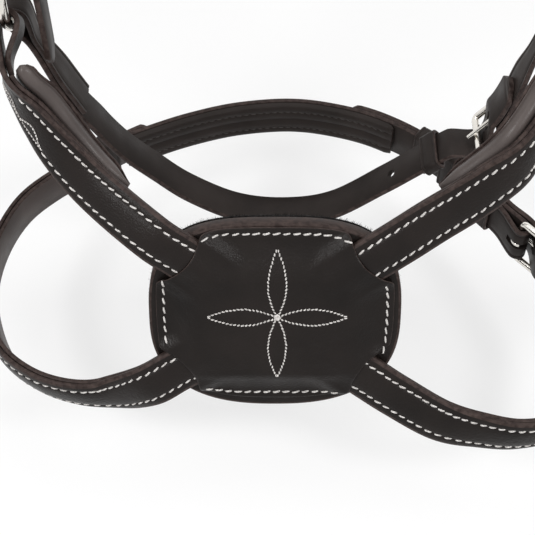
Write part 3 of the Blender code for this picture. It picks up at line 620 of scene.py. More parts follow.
face_leather = leather("face_leather", (0.0075, 0.0055, 0.0048), (0.0156, 0.0115, 0.0100), (0.33, 0.45),
                       1300, 0.00026, 0.6, polish=0.16)
pad_leather = leather("pad_leather", (0.0070, 0.0052, 0.0045), (0.0140, 0.0105, 0.0092), (0.32, 0.44),
                      1200, 0.00026, 0.6, polish=0.16)
strap_leather = leather("strap_leather", (0.0180, 0.0141, 0.0127), (0.0318, 0.0250, 0.0226), (0.42, 0.56))
lining_leather = leather("lining_leather", (0.0390, 0.0300, 0.0278), (0.0740, 0.0585, 0.0537), (0.40, 0.54),
                         1100, 0.00018, polish=0.22)
roll_leather = leather("roll_leather", (0.0560, 0.0450, 0.0420), (0.0990, 0.0810, 0.0750), (0.30, 0.42),
                       1100, 0.00016, polish=0.30)
edge_leather = burnished("edge_leather", (0.0242, 0.0158, 0.0140), (0.0644, 0.0460, 0.0408))
white_thread = thread("white_thread", (0.38, 0.355, 0.34), (0.80, 0.77, 0.74))
dark_thread = thread("dark_thread", (0.020, 0.016, 0.014), (0.050, 0.042, 0.038))
nickel = plated("nickel")
fleece_material = fleecy("fleece")


# Building pieces
def place_object(name, data, location=(0, 0, 0)):
    item = bpy.data.objects.new(name, data)
    item.location = location
    bpy.context.scene.collection.objects.link(item)
    return item


def mesh_data(name, mesh):
    data = bpy.data.meshes.new(name)
    mesh.to_mesh(data)
    mesh.free()
    return data


def finish_piece(name, verts, faces, materials, body="noseband", node=None, bands=None, sharp=52):
    """A mesh from its parts, faces out, riding on its body in place of its node."""
    data = bpy.data.meshes.new(name)
    data.from_pydata([vert - crown_rest for vert in verts], [], faces)
    for material in materials:
        data.materials.append(material)
    data.polygons.foreach_set("material_index", bands or [LEATHER] * len(faces))
    mesh = bmesh.new()
    mesh.from_mesh(data)
    bmesh.ops.recalc_face_normals(mesh, faces=mesh.faces)
    if mesh.calc_volume(signed=True) < 0:
        bmesh.ops.reverse_faces(mesh, faces=mesh.faces)
    mesh.to_mesh(data)
    mesh.free()
    data.shade_smooth()
    if sharp:
        data.set_sharp_from_angle(angle=math.radians(sharp))
    piece = place_object(name, data)
    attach(piece, body)
    if node:
        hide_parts(node)
    return piece


def bridge(faces, low, high, count, turned=False, shift=0):
    """Quads between two closed rings of vertices."""
    for index in range(count):
        after = (index + 1) % count
        quad = (low + index, low + after, high + (after + shift) % count, high + (index + shift) % count)
        faces.append(quad[:1] + quad[:0:-1] if turned else quad)


def close(faces, start, stop, count, turned=False):
    """Quads along all the rings of vertices from start to stop, and a cap at each end."""
    for low in range(start, stop - count, count):
        bridge(faces, low, low + count, count, turned)
    first, last = tuple(range(start, start + count)), tuple(range(stop - count, stop))
    faces += [first, last[::-1]] if turned else [first[::-1], last]


def circle(centre, across, up, radius, sides):
    angles = [2 * math.pi * side / sides for side in range(sides)]
    return [centre + (across * math.cos(angle) + up * math.sin(angle)) * radius for angle in angles]


def sweep(name, stations, profile, face, node, body="noseband"):
    """A closed strap whose section, with the material of each side, follows the stations."""
    sections = [profile(station) for station in stations]
    verts = [station.pos + station.across * sideways + station.out * outward
             for station, section in zip(stations, sections) for sideways, outward, band in section]
    faces = []
    close(faces, 0, len(verts), len(sections[0]))
    bands = [band for sideways, outward, band in sections[0]] * (len(stations) - 1) + [EDGE, EDGE]
    return finish_piece(name, verts, faces, [face, edge_leather], body, node, bands)


def closed_profile(half, low, edge, tops, burnish=edge_burnish):
    """A strap's section: rounded brown edges and the given points across the top."""
    turned = [(half - edge_round, low, EDGE), (half, low + edge_round, EDGE), (half, edge - edge_round, EDGE)]
    right = [(half * share, height, EDGE if share > burnish else LEATHER) for share, height in tops]
    left = [(-half * share, height, EDGE if share >= burnish else LEATHER) for share, height in tops[-2::-1]]
    left[-1] = (*left[-1][:2], EDGE)
    tail = [(-half, edge - edge_round, EDGE), (-half, low + edge_round, EDGE),
            (edge_round - half, low, LEATHER)]
    return turned + right + left + tail


def face_levels(raised):
    """How high a face leather's edge and crown stand where it is raised by a share."""
    return ply / 2 - (ply - strap_edge) * raised, ply / 2 + (strap_crown - ply) * raised


def face_profile(station):
    edge, top = face_levels(station.raised)
    tops = [(share, edge + (top - edge) * height) for share, height in raised_shares]
    return closed_profile(station.half, -ply / 2, edge, tops, face_burnish)


def plain_profile(station):
    tops = [(share, ply / 2 - crease_depth * depth) for share, depth in crease_shares]
    return closed_profile(station.half, -ply / 2, ply / 2, tops)


def lining_profile(station):
    deep = lining_thickness / 2
    return closed_profile(station.half, -deep, deep, [(0.97, deep), (0.5, deep), (0.0, deep)])


def roll_profile(station):
    """A padded roll: a soft bulge over a flat backing whose cut edge shows."""
    def half(way, shares, top):
        return [(way * station.half * share, roll_thickness / 2 * station.raised * height,
                 EDGE if roll_cut_low < height < top else LEATHER) for share, height in shares]
    return half(1, roll_shares[::-1], roll_cut_right) + half(-1, roll_shares[1:], roll_cut_left)


def chin_profile(station):
    """The chin pad's section: two long cushions with a groove and a sewn line each side."""
    half, full = station.half, chin_padding_thickness / 2 * station.raised
    right = [(half * share, full * height, LEATHER) for share, height in chin_pad_shares]
    left = [(-x, z, band) for x, z, band in right[-2::-1]]
    return right + left + [(side * half * 0.97, full * 0.9, LEATHER) for side in (-1, 1)]


# Stitches: each is a middle, a direction, an out and a length
def capsule(verts, faces, middle, along, out, length, radius):
    """One stitch: a short thread whose ends sink into the leather."""
    across = out.cross(along).normalized()
    start = len(verts)
    for share, rise, size in capsule_rings:
        centre = middle + along * length * share + out * radius * rise
        verts += circle(centre, across, out, radius * size, stitch_sides)
    close(faces, start, len(verts), stitch_sides)


def sew(name, stitches, radius=stitch_radius, material=white_thread):
    """One object from many stitches, each a little off its place, turn and size."""
    chance = random.Random(seed)
    verts, faces = [], []
    for middle, along, out, length in stitches:
        beside = out.cross(along).normalized() * chance.gauss(0, thread_shift)
        turned = Matrix.Rotation(chance.gauss(0, thread_turn), 3, out) @ along
        capsule(verts, faces, middle + beside, turned, out, length * chance.uniform(*thread_lengths),
                radius * chance.uniform(*thread_radii))
    finish_piece(name, verts, faces, [material], sharp=0)


def spaced(gaps, pitch):
    """Even places along a line whose pieces have these lengths: the piece, and the share of it."""
    reached = list(accumulate(gaps, initial=0.0))
    count = max(1, round(reached[-1] / pitch))
    for index in range(count):
        s = reached[-1] * (index + 0.5) / count
        spot = max(k for k in range(len(gaps)) if reached[k] <= s)
        yield spot, (s - reached[spot]) / (reached[spot + 1] - reached[spot])


def route_row(route, begin, end, offset, sideways, height, pitch=stitch_pitch, length=stitch_length):
    """Stitches in a row along a strap, each turned a little from the row."""
    count = max(1, round((end - begin) / pitch))
    made = []
    for index in range(count):
        s = begin + (end - begin) * (index + 0.5) / count
        place, along, across, out = route.frame(s)
        middle = place + out * (value(offset, s) + value(height, s)) + across * value(sideways, s)
        made.append((middle, Matrix.Rotation(stitch_slant, 3, out) @ along, out, length))
    return made


def row_height(raised):
    def height(s):
        edge, top = face_levels(value(raised, s))
        return edge + (top - edge) * row_level + stitch_radius * thread_lift
    return height


def face_height(share, raised):
    """How high a face leather stands at a share of its half width."""
    edge, top = face_levels(raised)
    for (outer, low), (inner, high) in zip(raised_shares, raised_shares[1:]):
        if inner <= share <= outer:
            return edge + (top - edge) * (low + (high - low) * (outer - share) / (outer - inner))
    return edge


def face_line(route, line, offset, half, raised):
    """Small stitches along a line drawn on a face leather, as distances along and across it."""
    spots = []
    for s, sideways in line:
        place, along, across, out = route.frame(s)
        height = offset(s) + face_height(abs(sideways) / half(s), raised(s)) + petal_radius * thread_lift
        spots.append((place + out * height + across * sideways, out))
    gaps = [(after[0] - before[0]).length for before, after in zip(spots, spots[1:])]
    made = []
    for spot, share in spaced(gaps, petal_pitch):
        (before, out), (after, following) = spots[spot:spot + 2]
        made.append((before.lerp(after, share), (after - before).normalized(), out, petal_stitch))
    return made


def scallops():
    """The waved line of fancy stitches and the straight line that it stands on."""
    waved, straight = [], []
    for index in range(curve_steps * scallop_count + 1):
        s = scallop_start + scallop_length * index / curve_steps
        share = (index % curve_steps) / curve_steps
        waved.append((s, scallop_base + scallop_rise * math.sin(math.pi * share ** scallop_lean)))
        straight.append((s, scallop_base))
    return waved, straight


# Holes
def cut(piece, mesh, place, along, across, out):
    """Takes a shape, laid along three directions, away from a piece."""
    cutter = place_object("cutter", mesh_data("cutter", mesh))
    cutter.matrix_world = (Matrix.Translation(place - crown_rest)
                           @ Matrix((along, across, out)).transposed().to_4x4())
    bpy.context.view_layer.update()
    modifier = piece.modifiers.new("hole", "BOOLEAN")
    modifier.operation = "DIFFERENCE"
    modifier.solver = "EXACT"
    modifier.object = cutter
    with bpy.context.temp_override(object=piece, active_object=piece, selected_objects=[piece]):
        bpy.ops.object.modifier_apply(modifier=modifier.name)
    bpy.data.objects.remove(cutter)


def pierce(piece, route, s, offset, half_length):
    """A round or oval hole through a strap."""
    place, along, across, out = route.frame(s)
    mesh = bmesh.new()
    bmesh.ops.create_cone(mesh, cap_ends=True, segments=24, radius1=1, radius2=1, depth=6 * ply)
    bmesh.ops.scale(mesh, vec=(half_length, hole_width / 2, 1), verts=mesh.verts)
    cut(piece, mesh, place + out * offset, along, across, out)


def pierce_billet(strap, route, bar, heading, dip, first, shares):
    """The hole that the tongue stands in, and the spare holes of a billet."""
    ahead = bar + heading * buckle_length
    pierce(strap, route, bar + heading * buckle_length * tongue_spot, (dip(bar) + dip(ahead)) / 2,
           hole_length / 2)
    for share in shares:
        pierce(strap, route, first - hole_pitch * share, 0.0, hole_width / 2)


def pierce_bar(piece, route, bar, heading, level):
    """The slot in a folded strap end that the tongue turns in."""
    place, along, across, out = route.frame(bar)
    forward = heading * along
    back = buckle_wire + tongue_play + 2 * tongue_wire + tongue_slot_play
    front = reach + ply
    mesh = bmesh.new()
    bmesh.ops.create_cube(mesh, size=1.0)
    bmesh.ops.scale(mesh, vec=(front + back, 2 * (tongue_wire + tongue_slot_play), 2 * (reach + ply)),
                    verts=mesh.verts)
    cut(piece, mesh, place + out * level + forward * (front - back) / 2, forward, across, out)


# Keepers and metal
def rounded_outline(half_width, half_height, corner, steps=10):
    points = []
    for quarter, (side_x, side_y) in enumerate(((1, 1), (-1, 1), (-1, -1), (1, -1))):
        for step in range(steps + 1):
            angle = (quarter + step / steps) * math.pi / 2
            points.append((side_x * (half_width - corner) + corner * math.cos(angle),
                           side_y * (half_height - corner) + corner * math.sin(angle)))
    return points


def dress_keeper(name, route, s, width, low, high, body=None):
    """A leather loop with rounded edges and a crease along each side."""
    place, along, across, out = route.frame(s)
    middle = place + out * (low + high) / 2
    axis = across.cross(out)
    half = keeper_width / 2
    creased = ((0.72, 1.0), (0.66, 0.86), (0.58, 1.0))
    section = [(-half, 0.25), (edge_round - half, 0.0), (half - edge_round, 0.0), (half, 0.25), (half, 0.75),
               (half - edge_round, 1.0), *[(half * share, rise) for share, rise in creased], (0.0, 1.04),
               *[(-half * share, rise) for share, rise in creased[::-1]], (edge_round - half, 1.0),
               (-half, 0.75)]
    band = [LEATHER] * 2 + [EDGE] * 3 + [LEATHER] * 8 + [EDGE] * 2
    inner, outer = [rounded_outline(width / 2 + keeper_play + more, (high - low) / 2 + keeper_play + more,
                                    keeper_thickness * keeper_corner + more)
                    for more in (0, keeper_thickness)]
    verts = [middle + across * (x_in + (x_out - x_in) * share) + out * (y_in + (y_out - y_in) * share)
             + axis * level for (x_in, y_in), (x_out, y_out) in zip(inner, outer) for level, share in section]
    faces, count = [], len(section)
    for index in range(len(inner)):
        bridge(faces, index * count, (index + 1) % len(inner) * count, count)
    finish_piece(name + "_leather", verts, faces, [strap_leather, edge_leather], body or name, name,
                 band * len(inner))


def tube(name, points, radius, closed, node, sides=14):
    """A bent wire with a round section, which is a body of its own."""
    count = len(points)
    verts, faces = [], []
    normal = None
    for index, point in enumerate(points):
        before = points[index - 1] if closed or index else point
        after = points[(index + 1) % count] if closed or index < count - 1 else point
        along = (after - before).normalized()
        if normal is None:
            normal = along.orthogonal().normalized()
        normal = (normal - along * normal.dot(along)).normalized()
        verts += circle(point, normal, along.cross(normal), radius, sides)
    last = (count - 1) * sides
    if closed:
        for low in range(0, last, sides):
            bridge(faces, low, low + sides, sides)
        shift = min(range(sides), key=lambda k: (verts[k] - verts[last]).length)
        bridge(faces, last, 0, sides, shift=shift)
    else:
        close(faces, 0, len(verts), sides)
    finish_piece(name, verts, faces, [nickel], node, node)


def dress_buckle(prefix, route, bar, heading, width):
    place, along, across, out = route.frame(bar)
    pin = place + out * base
    forward = heading * along
    leaning = forward * math.cos(buckle_tilt) + out * math.sin(buckle_tilt)
    rising = out * math.cos(buckle_tilt) - forward * math.sin(buckle_tilt)
    middle = buckle_length / 2
    outline = rounded_outline(width / 2 + buckle_play + buckle_wire, middle, buckle_wire * frame_corner,
                              frame_corner_steps)
    points = []
    for (x, y), (next_x, next_y) in zip(outline, outline[1:] + outline[:1]):
        steps = max(1, round(math.hypot(next_x - x, next_y - y) / (2 * buckle_wire)))
        points += [pin + across * (x + (next_x - x) * step / steps)
                   + leaning * (middle + y + (next_y - y) * step / steps) for step in range(steps)]
    tube(prefix + "_frame_metal", points, buckle_wire, True, prefix + "_buckle_frame")
    eye = buckle_wire + tongue_play + tongue_wire
    angles = [math.radians(tongue_bend_start - tongue_bend * index / eye_steps)
              for index in range(eye_steps + 1)]
    bent = [pin + leaning * (eye * math.cos(angle)) + rising * (eye * math.sin(angle)) for angle in angles]
    tip = buckle_length + buckle_wire + tongue_wire
    bent += [pin + rising * eye + leaning * (tip * step / tongue_steps)
             for step in range(1, tongue_steps + 1)]
    tube(prefix + "_tongue_metal", bent, tongue_wire, False, prefix + "_buckle_tongue")


def dress_ring(tag, x):
    points = circle(Vector((x, ring_back, ring_up)), rearward, Vector((0, 0, 1)), ring_radius, ring_steps)
    tube("ring_metal_" + tag, points, ring_wire, True, "cheek_ring_" + tag, 18)


# Straps
def dress_upper_arm(side):
    tag = "left" if side < 0 else "right"
    node = "strap_upper_" + tag
    route = upper_route(side)
    straight = route.length - arm_lap
    half = blend(strap_width / 2, ring_loop_width / 2, straight, straight + loop_approach)
    offset = blend(0.0, seat, straight - loop_approach, straight)
    raised = blend(1.0, 0.0, straight - loop_approach, straight)
    outer, bend, inner = turn(route, route.length, 0.0, ring_reach, arm_lap, ring_loop_width / 2)
    outer = [station._replace(half=half(straight + arm_lap * index / (len(outer) - 1)))
             for index, station in enumerate(outer)]
    face = run(route, 0.0, straight, offset, half, raised)[:-1] + outer + bend + inner
    sweep("upper_strap_" + tag, face, face_profile, face_leather, node)
    lining = run(route, 0.0, straight - gap / 3, lambda s: offset(s) + under, strap_width / 2 - lining_inset)
    sweep("upper_lining_" + tag, lining, lining_profile, lining_leather, "lining_upper_" + tag)
    rows = []
    for across_side, row_end in ((-1, scallop_start), (1, straight - loop_approach / 2)):
        rows += route_row(route, row_start, row_end, offset, lambda s: across_side * half(s) * row_share,
                          row_height(raised))
    sew("upper_stitches_" + tag, rows)
    fancy = [stitch for line in scallops() for stitch in face_line(route, line, offset, half, raised)]
    sew("fancy_stitches_" + tag, fancy, petal_radius)

    deep = second - ply / 2 - 2 * gap - roll_thickness / 2
    roll_end = route.length - roll_end_clear - loop_approach
    swell = cushion(roll_start, roll_end, loop_approach, 2 * ply, roll_swell_start, roll_swell_end)
    roll = run(route, roll_start, roll_end, lambda s: offset(s) + deep,
               lambda s: roll_width / 2 * (roll_waist + (1 - roll_waist) * swell(s)), swell)
    piece = sweep("padded_roll_" + tag, roll, roll_profile, roll_leather, "roll_" + tag)


def dress_lower_loop():
    route = lower_route()
    lead = len(arm_places) + len(lower_left_shares)
    joint = route.mark(lead)
    bar = route.mark(lead + len(chin_shares) - 1)
    full = strap_width / 2
    left_end = joint + chin_lap_left
    point = blend(full, full * blunt_tip, left_end - edge_bevel * 2, left_end)
    strap = run(route, 0.0, left_end, 0.0, point, blend(1.0, 0.0, left_end - loop_approach, left_end))
    sweep("lower_strap_left", strap, face_profile, face_leather, "strap_lower_left")
    lining = run(route, 0.0, joint - gap, under, full - lining_inset)
    sweep("lower_lining_left", lining, lining_profile, lining_leather, "lining_lower_left")

    tip = bar - chin_tip_overlap
    dip = billet_offset(route, bar, 1)
    flat_end = bar + buckle_length + loop_approach
    full_start = flat_end + loop_approach
    narrowed = blend(full * pointed_tip, full, tip, tip + edge_bevel * 3)
    strap = run(route, tip, route.length, dip, narrowed, blend(0.0, 1.0, flat_end, full_start))
    strap = sweep("lower_strap_right", strap, face_profile, face_leather, "strap_lower_right")
    lining = run(route, full_start, route.length, under, full - lining_inset)
    sweep("lower_lining_right", lining, lining_profile, lining_leather, "lining_lower_right")
    pierce_billet(strap, route, bar, 1, dip, bar, chin_hole_shares)
    for tag, begin, end in (("left", row_start, joint - keeper_width * keeper_clear),
                            ("right", full_start, route.length - row_start)):
        rows = []
        for across_side in (-1, 1):
            rows += route_row(route, begin, end, 0.0, across_side * full * row_share, row_height(1.0))
        sew("lower_stitches_" + tag, rows)

    chin_half = chin_band_width / 2
    outer, bend, inner = turn(route, bar, base, reach, bar_lap, full)
    chin = run(route, joint + gap, bar - bar_lap, second, chin_half)[:-1] + outer + bend + inner
    band = sweep("chin_band", chin, plain_profile, strap_leather, "chin_strap")
    pierce_bar(band, route, bar, 1, base)
    soft_end = route.mark(lead + 8)
    swell = cushion(joint, soft_end, 2 * edge_bevel, 2 * edge_bevel, chin_swell, chin_swell)
    deep = second - ply / 2 - gap - chin_padding_thickness / 2
    padding = run(route, joint + gap, soft_end, deep,
                  lambda s: chin_half * (chin_waist + (1 - chin_waist) * swell(s)), swell)
    piece = sweep("chin_pad", padding, chin_profile, strap_leather, "chin_padding")
    rows = []
    for across_side in (-1, 1):
        row = route_row(route, joint + chin_row_clear, soft_end - chin_row_clear,
                        deep - chin_padding_thickness * chin_row_depth,
                        across_side * chin_half * chin_row_share, 0.0, chin_stitch_pitch, chin_stitch_length)
        rows += [(middle, along, -out, length) for middle, along, out, length in row]
    sew("chin_stitches", rows, stitch_radius * chin_stitch_share, dark_thread)

    dress_keeper("chin_keeper_front", route, bar - loop_approach - keeper_width, strap_width,
                 base - seat - ply / 2, ply / 2)
    for name, mark in (("chin_keeper_middle", 10), ("chin_keeper_rear", 9)):
        dress_keeper(name, route, route.mark(lead + mark), chin_band_width, second - ply / 2, ply / 2)
    dress_keeper("chin_keeper_left", route, joint - keeper_width, strap_width, under - lining_thickness / 2,
                 strap_crown - ply / 2, "noseband")
    dress_buckle("chin", route, bar, 1, strap_width)


def dress_crown():
    route = crown_route()
    half, ring_half = crown_width / 2, ring_loop_width / 2
    bar = route.mark(4)
    dip = billet_offset(route, bar, 1)
    tip = bar - crown_tip_drop
    pointed = blend(half * pointed_tip, half, tip, tip + edge_bevel * 2)
    straight = route.length - ring_lap
    narrow = blend(half, ring_half, straight - loop_approach, straight)
    settle = blend(0.0, -seat, straight - loop_approach, straight)
    outer, bend, inner = turn(route, route.length, 0.0, ring_reach, ring_lap, ring_half, 1, -1)
    stations = run(route, tip, straight, lambda s: dip(s) + settle(s), lambda s: min(pointed(s), narrow(s)))
    stations = [station._replace(across=-station.across, out=-station.out) for station in stations[:-1]]
    stations += [station._replace(across=-station.across) for station in outer + bend + inner]
    strap = sweep("crown_band", stations, plain_profile, strap_leather, "crown_strap", "crown")
    pierce_billet(strap, route, bar, 1, dip, bar, crown_hole_shares)
    place, along, across, out = route.frame(bar)
    pin_bar, pin_ring = place + out * base, ring_pin(ring_left_x, 1)
    link = Route([(spot, rearward) for spot in (pin_ring, (pin_ring + pin_bar) / 2, pin_bar)], 1)
    high = turn(link, link.length, 0.0, reach, crown_chape_lap, half)
    chape = backwards(turn(link, 0.0, 0.0, ring_reach, crown_chape_lap, ring_half, -1)) + sum(high, [])
    piece = sweep("crown_chape_leather", chape, plain_profile, strap_leather, "crown_chape", "crown")
    pierce_bar(piece, link, link.length, 1, 0.0)
    dress_keeper("crown_keeper", route, bar - loop_approach - keeper_width / 2, crown_width,
                 base - seat - ply / 2 - crown_lean, ply / 2)
    dress_buckle("crown", route, bar, 1, crown_width)


def dress_jaw():
    route = jaw_route()
    half, ring_half = jaw_width / 2, ring_loop_width / 2
    bar = route.mark(len(jaw_shares) - 1)
    dip = billet_offset(route, bar, -1)
    tip = bar + jaw_tip_length
    ahead = bar - buckle_length
    narrow = blend(ring_half, half, jaw_lap * jaw_taper_shares[0], jaw_lap * jaw_taper_shares[1])
    pointed = blend(half, half * pointed_tip, tip - edge_bevel * 2, tip)
    settle = blend(-seat, 0.0, jaw_lap, jaw_lap + loop_approach)
    outer, bend, inner = turn(route, 0.0, 0.0, ring_reach, jaw_lap, ring_half, -1, -1)
    widths = [narrow(jaw_lap * (1 - index / (len(outer) - 1))) for index in range(len(outer))]
    outer = [station._replace(half=width) for station, width in zip(outer, widths)]
    inner = [station._replace(half=width) for station, width in zip(inner, widths[::-1])]
    main = run(route, jaw_lap, tip, lambda s: dip(s) + settle(s), lambda s: min(narrow(s), pointed(s)))[1:]
    main = [station._replace(out=-station.out) for station in main]
    strap = sweep("jaw_band", backwards((outer, bend, inner)) + main, plain_profile, strap_leather,
                  "jaw_strap", "jaw")
    pierce_billet(strap, route, bar, -1, dip, ahead, jaw_hole_shares)
    high = turn(route, route.length, base, ring_reach, bar_lap, ring_half)
    between = run(route, bar + bar_lap, route.length - bar_lap, base + seat,
                  blend(half, ring_half, bar + bar_lap, route.length - bar_lap))
    chape = backwards(turn(route, bar, base, reach, bar_lap, half, -1)) + between[1:-1] + sum(high, [])
    piece = sweep("jaw_chape_leather", chape, plain_profile, strap_leather, "jaw_chape", "jaw")
    pierce_bar(piece, route, bar, -1, base)
    dress_keeper("jaw_keeper", route, ahead - dip_run - keeper_width, jaw_width, -ply / 2, ply / 2)
    dress_buckle("jaw", route, bar, -1, jaw_width)


# Nose pad
def oval_share(x, y, powers):
    """How far out a point lies, where 1 is on the outline of a squarish oval."""
    power = powers[0] if y > 0 else powers[1]
    return (abs(x) ** power + abs(y) ** power) ** (1 / power)


def cover_reach(angle):
    """How far the cover goes from its middle in a direction, round its corner cut-outs."""
    cosine, sine = math.cos(angle), math.sin(angle)
    far = 1 / oval_share(2 * cosine / cover_width, 2 * sine / cover_height, cover_powers)
    x, y, radius = corner_cut_upper if sine > 0 else corner_cut_lower
    x = math.copysign(x, cosine)
    y -= cover_shift
    toward = cosine * x + sine * y
    inside = toward * toward - (x * x + y * y - radius * radius)
    if inside > 0 and toward - math.sqrt(inside) > 0:
        far = min(far, toward - math.sqrt(inside))
    return far


def tent_height(x, y):
    """How high the cover is carried by the straps under it."""
    best = 0.0
    for side, angle in arm_lines:
        along = x * side * math.cos(angle) + y * math.sin(angle)
        beside = abs(-x * side * math.sin(angle) + y * math.cos(angle))
        top = arm_seat + ply / 2 - (ply - strap_edge)
        top += (strap_crown - strap_edge) * (1 - ease(beside / (strap_width / 2))) + gap + cover_skin
        fall = ease((beside - strap_width / 2) / tent_fall)
        best = max(best, top * (1 - fall) * ease((along - tent_start) / tent_rise))
    return best


def soft_most(values, softness):
    return softness * math.log(sum(math.exp(item / softness) for item in values))


def cover_top(x, y):
    sides = (cover_width / 2 - abs(x), cover_height / 2 - abs(y - cover_shift))
    inside = -soft_most([-side for side in sides], cover_softness)
    swell = 1 - cover_hollow * ((2 * x / cover_width) ** 2 + (2 * y / cover_height) ** 2)
    slope = cover_slope_lower + (cover_slope_upper - cover_slope_lower) * ease(0.5 + 2 * y / cover_height)
    flat = cover_rim + (cover_crown * swell - cover_rim) * ease((inside - cover_margin) / slope)
    height = soft_most((flat, tent_height(x, y)), tent_softness)
    height -= row_groove * math.exp(-((inside - cover_row) / row_groove_width) ** 2)
    pucker = sum(noise.noise(Vector((x, y, layer)) * scale) * depth for layer, scale, depth in puckers)
    return height + pucker * ease((inside - pucker_start) / pucker_run)


def dress_cover():
    angles = [2 * math.pi * index / cover_spokes for index in range(cover_spokes)]
    near = [corner_spread * step / corner_samples for step in range(-corner_samples, corner_samples + 1)]
    reaches = [sum(cover_reach(angle + turned) for turned in near) / len(near) for angle in angles]

    def ring(index):
        spots = []
        for angle, far in zip(angles, reaches):
            far *= index / cover_rings
            x, y = far * math.cos(angle), cover_shift + far * math.sin(angle)
            spots.append((x, y, cover_top(x, y)))
        return spots

    places = [(0, cover_shift, cover_top(0, cover_shift))]
    for index in range(1, cover_rings):
        places += ring(index)
    edges = ring(cover_rings)
    places += [(x, y, z - rim_drop) for x, y, z in edges]
    for drop, skin_share, draw in cover_edge_layers:
        places += [(x * draw, y * draw, z - drop - min(cover_skin, z - gap) * skin_share)
                   for x, y, z in edges]
    for index in range(cover_rings - under_step, 0, -under_step):
        places += [(x, y, z - min(cover_skin, z - gap)) for x, y, z in ring(index)]
    faces = [(0, 1 + index, 1 + (index + 1) % cover_spokes) for index in range(cover_spokes)]
    for low in range(1, len(places) - cover_spokes, cover_spokes):
        bridge(faces, low, low + cover_spokes, cover_spokes, True)
    faces.append(tuple(range(len(places) - cover_spokes, len(places)))[::-1])
    face_count = cover_spokes * cover_rings
    piece = finish_piece("pad_cover", [pad_matrix @ Vector(place) for place in places], faces,
                         [pad_leather, edge_leather], "noseband", "nose_cover",
                         [LEATHER] * face_count + [EDGE] * (len(faces) - face_count), 60)


def pad_stitch(x, y, angle, length, radius):
    """One stitch on the pad's face, lying along a direction in its plane."""
    ends = []
    for side in (-1, 1):
        at_x, at_y = x + side * length / 2 * math.cos(angle), y + side * length / 2 * math.sin(angle)
        ends.append(Vector((at_x, at_y, cover_top(at_x, at_y))))
    slope_x = (cover_top(x + slope_step, y) - cover_top(x - slope_step, y)) / (2 * slope_step)
    slope_y = (cover_top(x, y + slope_step) - cover_top(x, y - slope_step)) / (2 * slope_step)
    out = Vector((-slope_x, -slope_y, 1)).normalized()
    middle = Vector((x, y, cover_top(x, y))) + out * radius * thread_lift
    return pad_matrix @ middle, pad_tilt @ (ends[1] - ends[0]).normalized(), pad_tilt @ out, length


def stitch_line(points, pitch, length, radius, slant):
    """Evenly spaced stitches along a line of points on the pad."""
    gaps = [math.hypot(next_x - x, next_y - y) for (x, y), (next_x, next_y) in zip(points, points[1:])]
    made = []
    for spot, share in spaced(gaps, pitch):
        (x, y), (next_x, next_y) = points[spot:spot + 2]
        made.append(pad_stitch(x + (next_x - x) * share, y + (next_y - y) * share,
                               math.atan2(next_y - y, next_x - x) + slant, length, radius))
    return made


def bow(row, upright):
    """A row's line: it starts and ends at two places and bulges outwards between them."""
    begin, end, level, level_begin, level_end = row
    points = []
    for index in range(bow_steps + 1):
        share = index / bow_steps
        t = begin + (end - begin) * share
        droop = ((level_begin if share < 0.5 else level_end) - level) * (1 - 2 * share) ** 4
        points.append((t, level + droop) if upright else (level + droop, t))
    return points


def dress_pad_stitches():
    rows = []
    for row, upright in ((row_top, True), (row_bottom, True), (row_left, False), (row_right, False)):
        rows += stitch_line(bow(row, upright), stitch_pitch, stitch_length, stitch_radius, stitch_slant)
    sew("pad_stitches", rows)

    petals = []
    centre_x, centre_y = ornament_centre
    for quarter in range(4):
        cosine, sine = math.cos(quarter * math.pi / 2), math.sin(quarter * math.pi / 2)
        for side in (-1, 1):
            points = []
            for index in range(curve_steps + 1):
                share = index / curve_steps
                far = petal_length * share
                bulge = math.sin(math.pi * share) ** petal_blunt if 0 < share < 1 else 0.0
                wide = side * petal_half_width * bulge
                points.append((centre_x + far * cosine - wide * sine, centre_y + far * sine + wide * cosine))
            petals += stitch_line(points, petal_pitch, petal_stitch, petal_radius, petal_slant * side)
    spread = random.Random(seed)
    for index in range(knot_stitches):
        angle = 2 * math.pi * index * knot_turn
        far = knot_radius * math.sqrt(index / knot_stitches)
        petals.append(pad_stitch(centre_x + far * math.cos(angle), centre_y + far * math.sin(angle),
                                 spread.uniform(0, math.pi), petal_stitch, petal_radius))
    sew("ornament_stitches", petals, petal_radius)


def oval_outline(half_width, half_height):
    """Points round the base's squarish oval."""
    points = []
    for step in range(oval_steps):
        angle = 2 * math.pi * (step + 0.5) / oval_steps
        x, y = math.cos(angle), math.sin(angle)
        share = oval_share(x, y, base_powers)
        points.append((half_width * x / share, base_shift + half_height * y / share))
    return points


def dress_slab(name, node, width, height, thickness, level, material, edge_material, round_by):
    """A flat sheet of leather or fleece with rounded edges."""
    verts, faces = [], []
    for index in range(slab_layers):
        angle = math.pi / 2 - math.pi * index / (slab_layers - 1)
        inset = round_by * (1 - math.cos(angle))
        z = (thickness / 2 - round_by) * (1 if angle > 0 else -1) + round_by * math.sin(angle)
        verts += [pad_matrix @ Vector((x, y, level - thickness / 2 + z))
                  for x, y in oval_outline(width / 2 - inset, height / 2 - inset)]
    close(faces, 0, len(verts), oval_steps, True)
    bands = [EDGE] * (len(faces) - 2) + [LEATHER, LEATHER]
    return finish_piece(name, verts, faces, [material, edge_material], "noseband", node, bands)


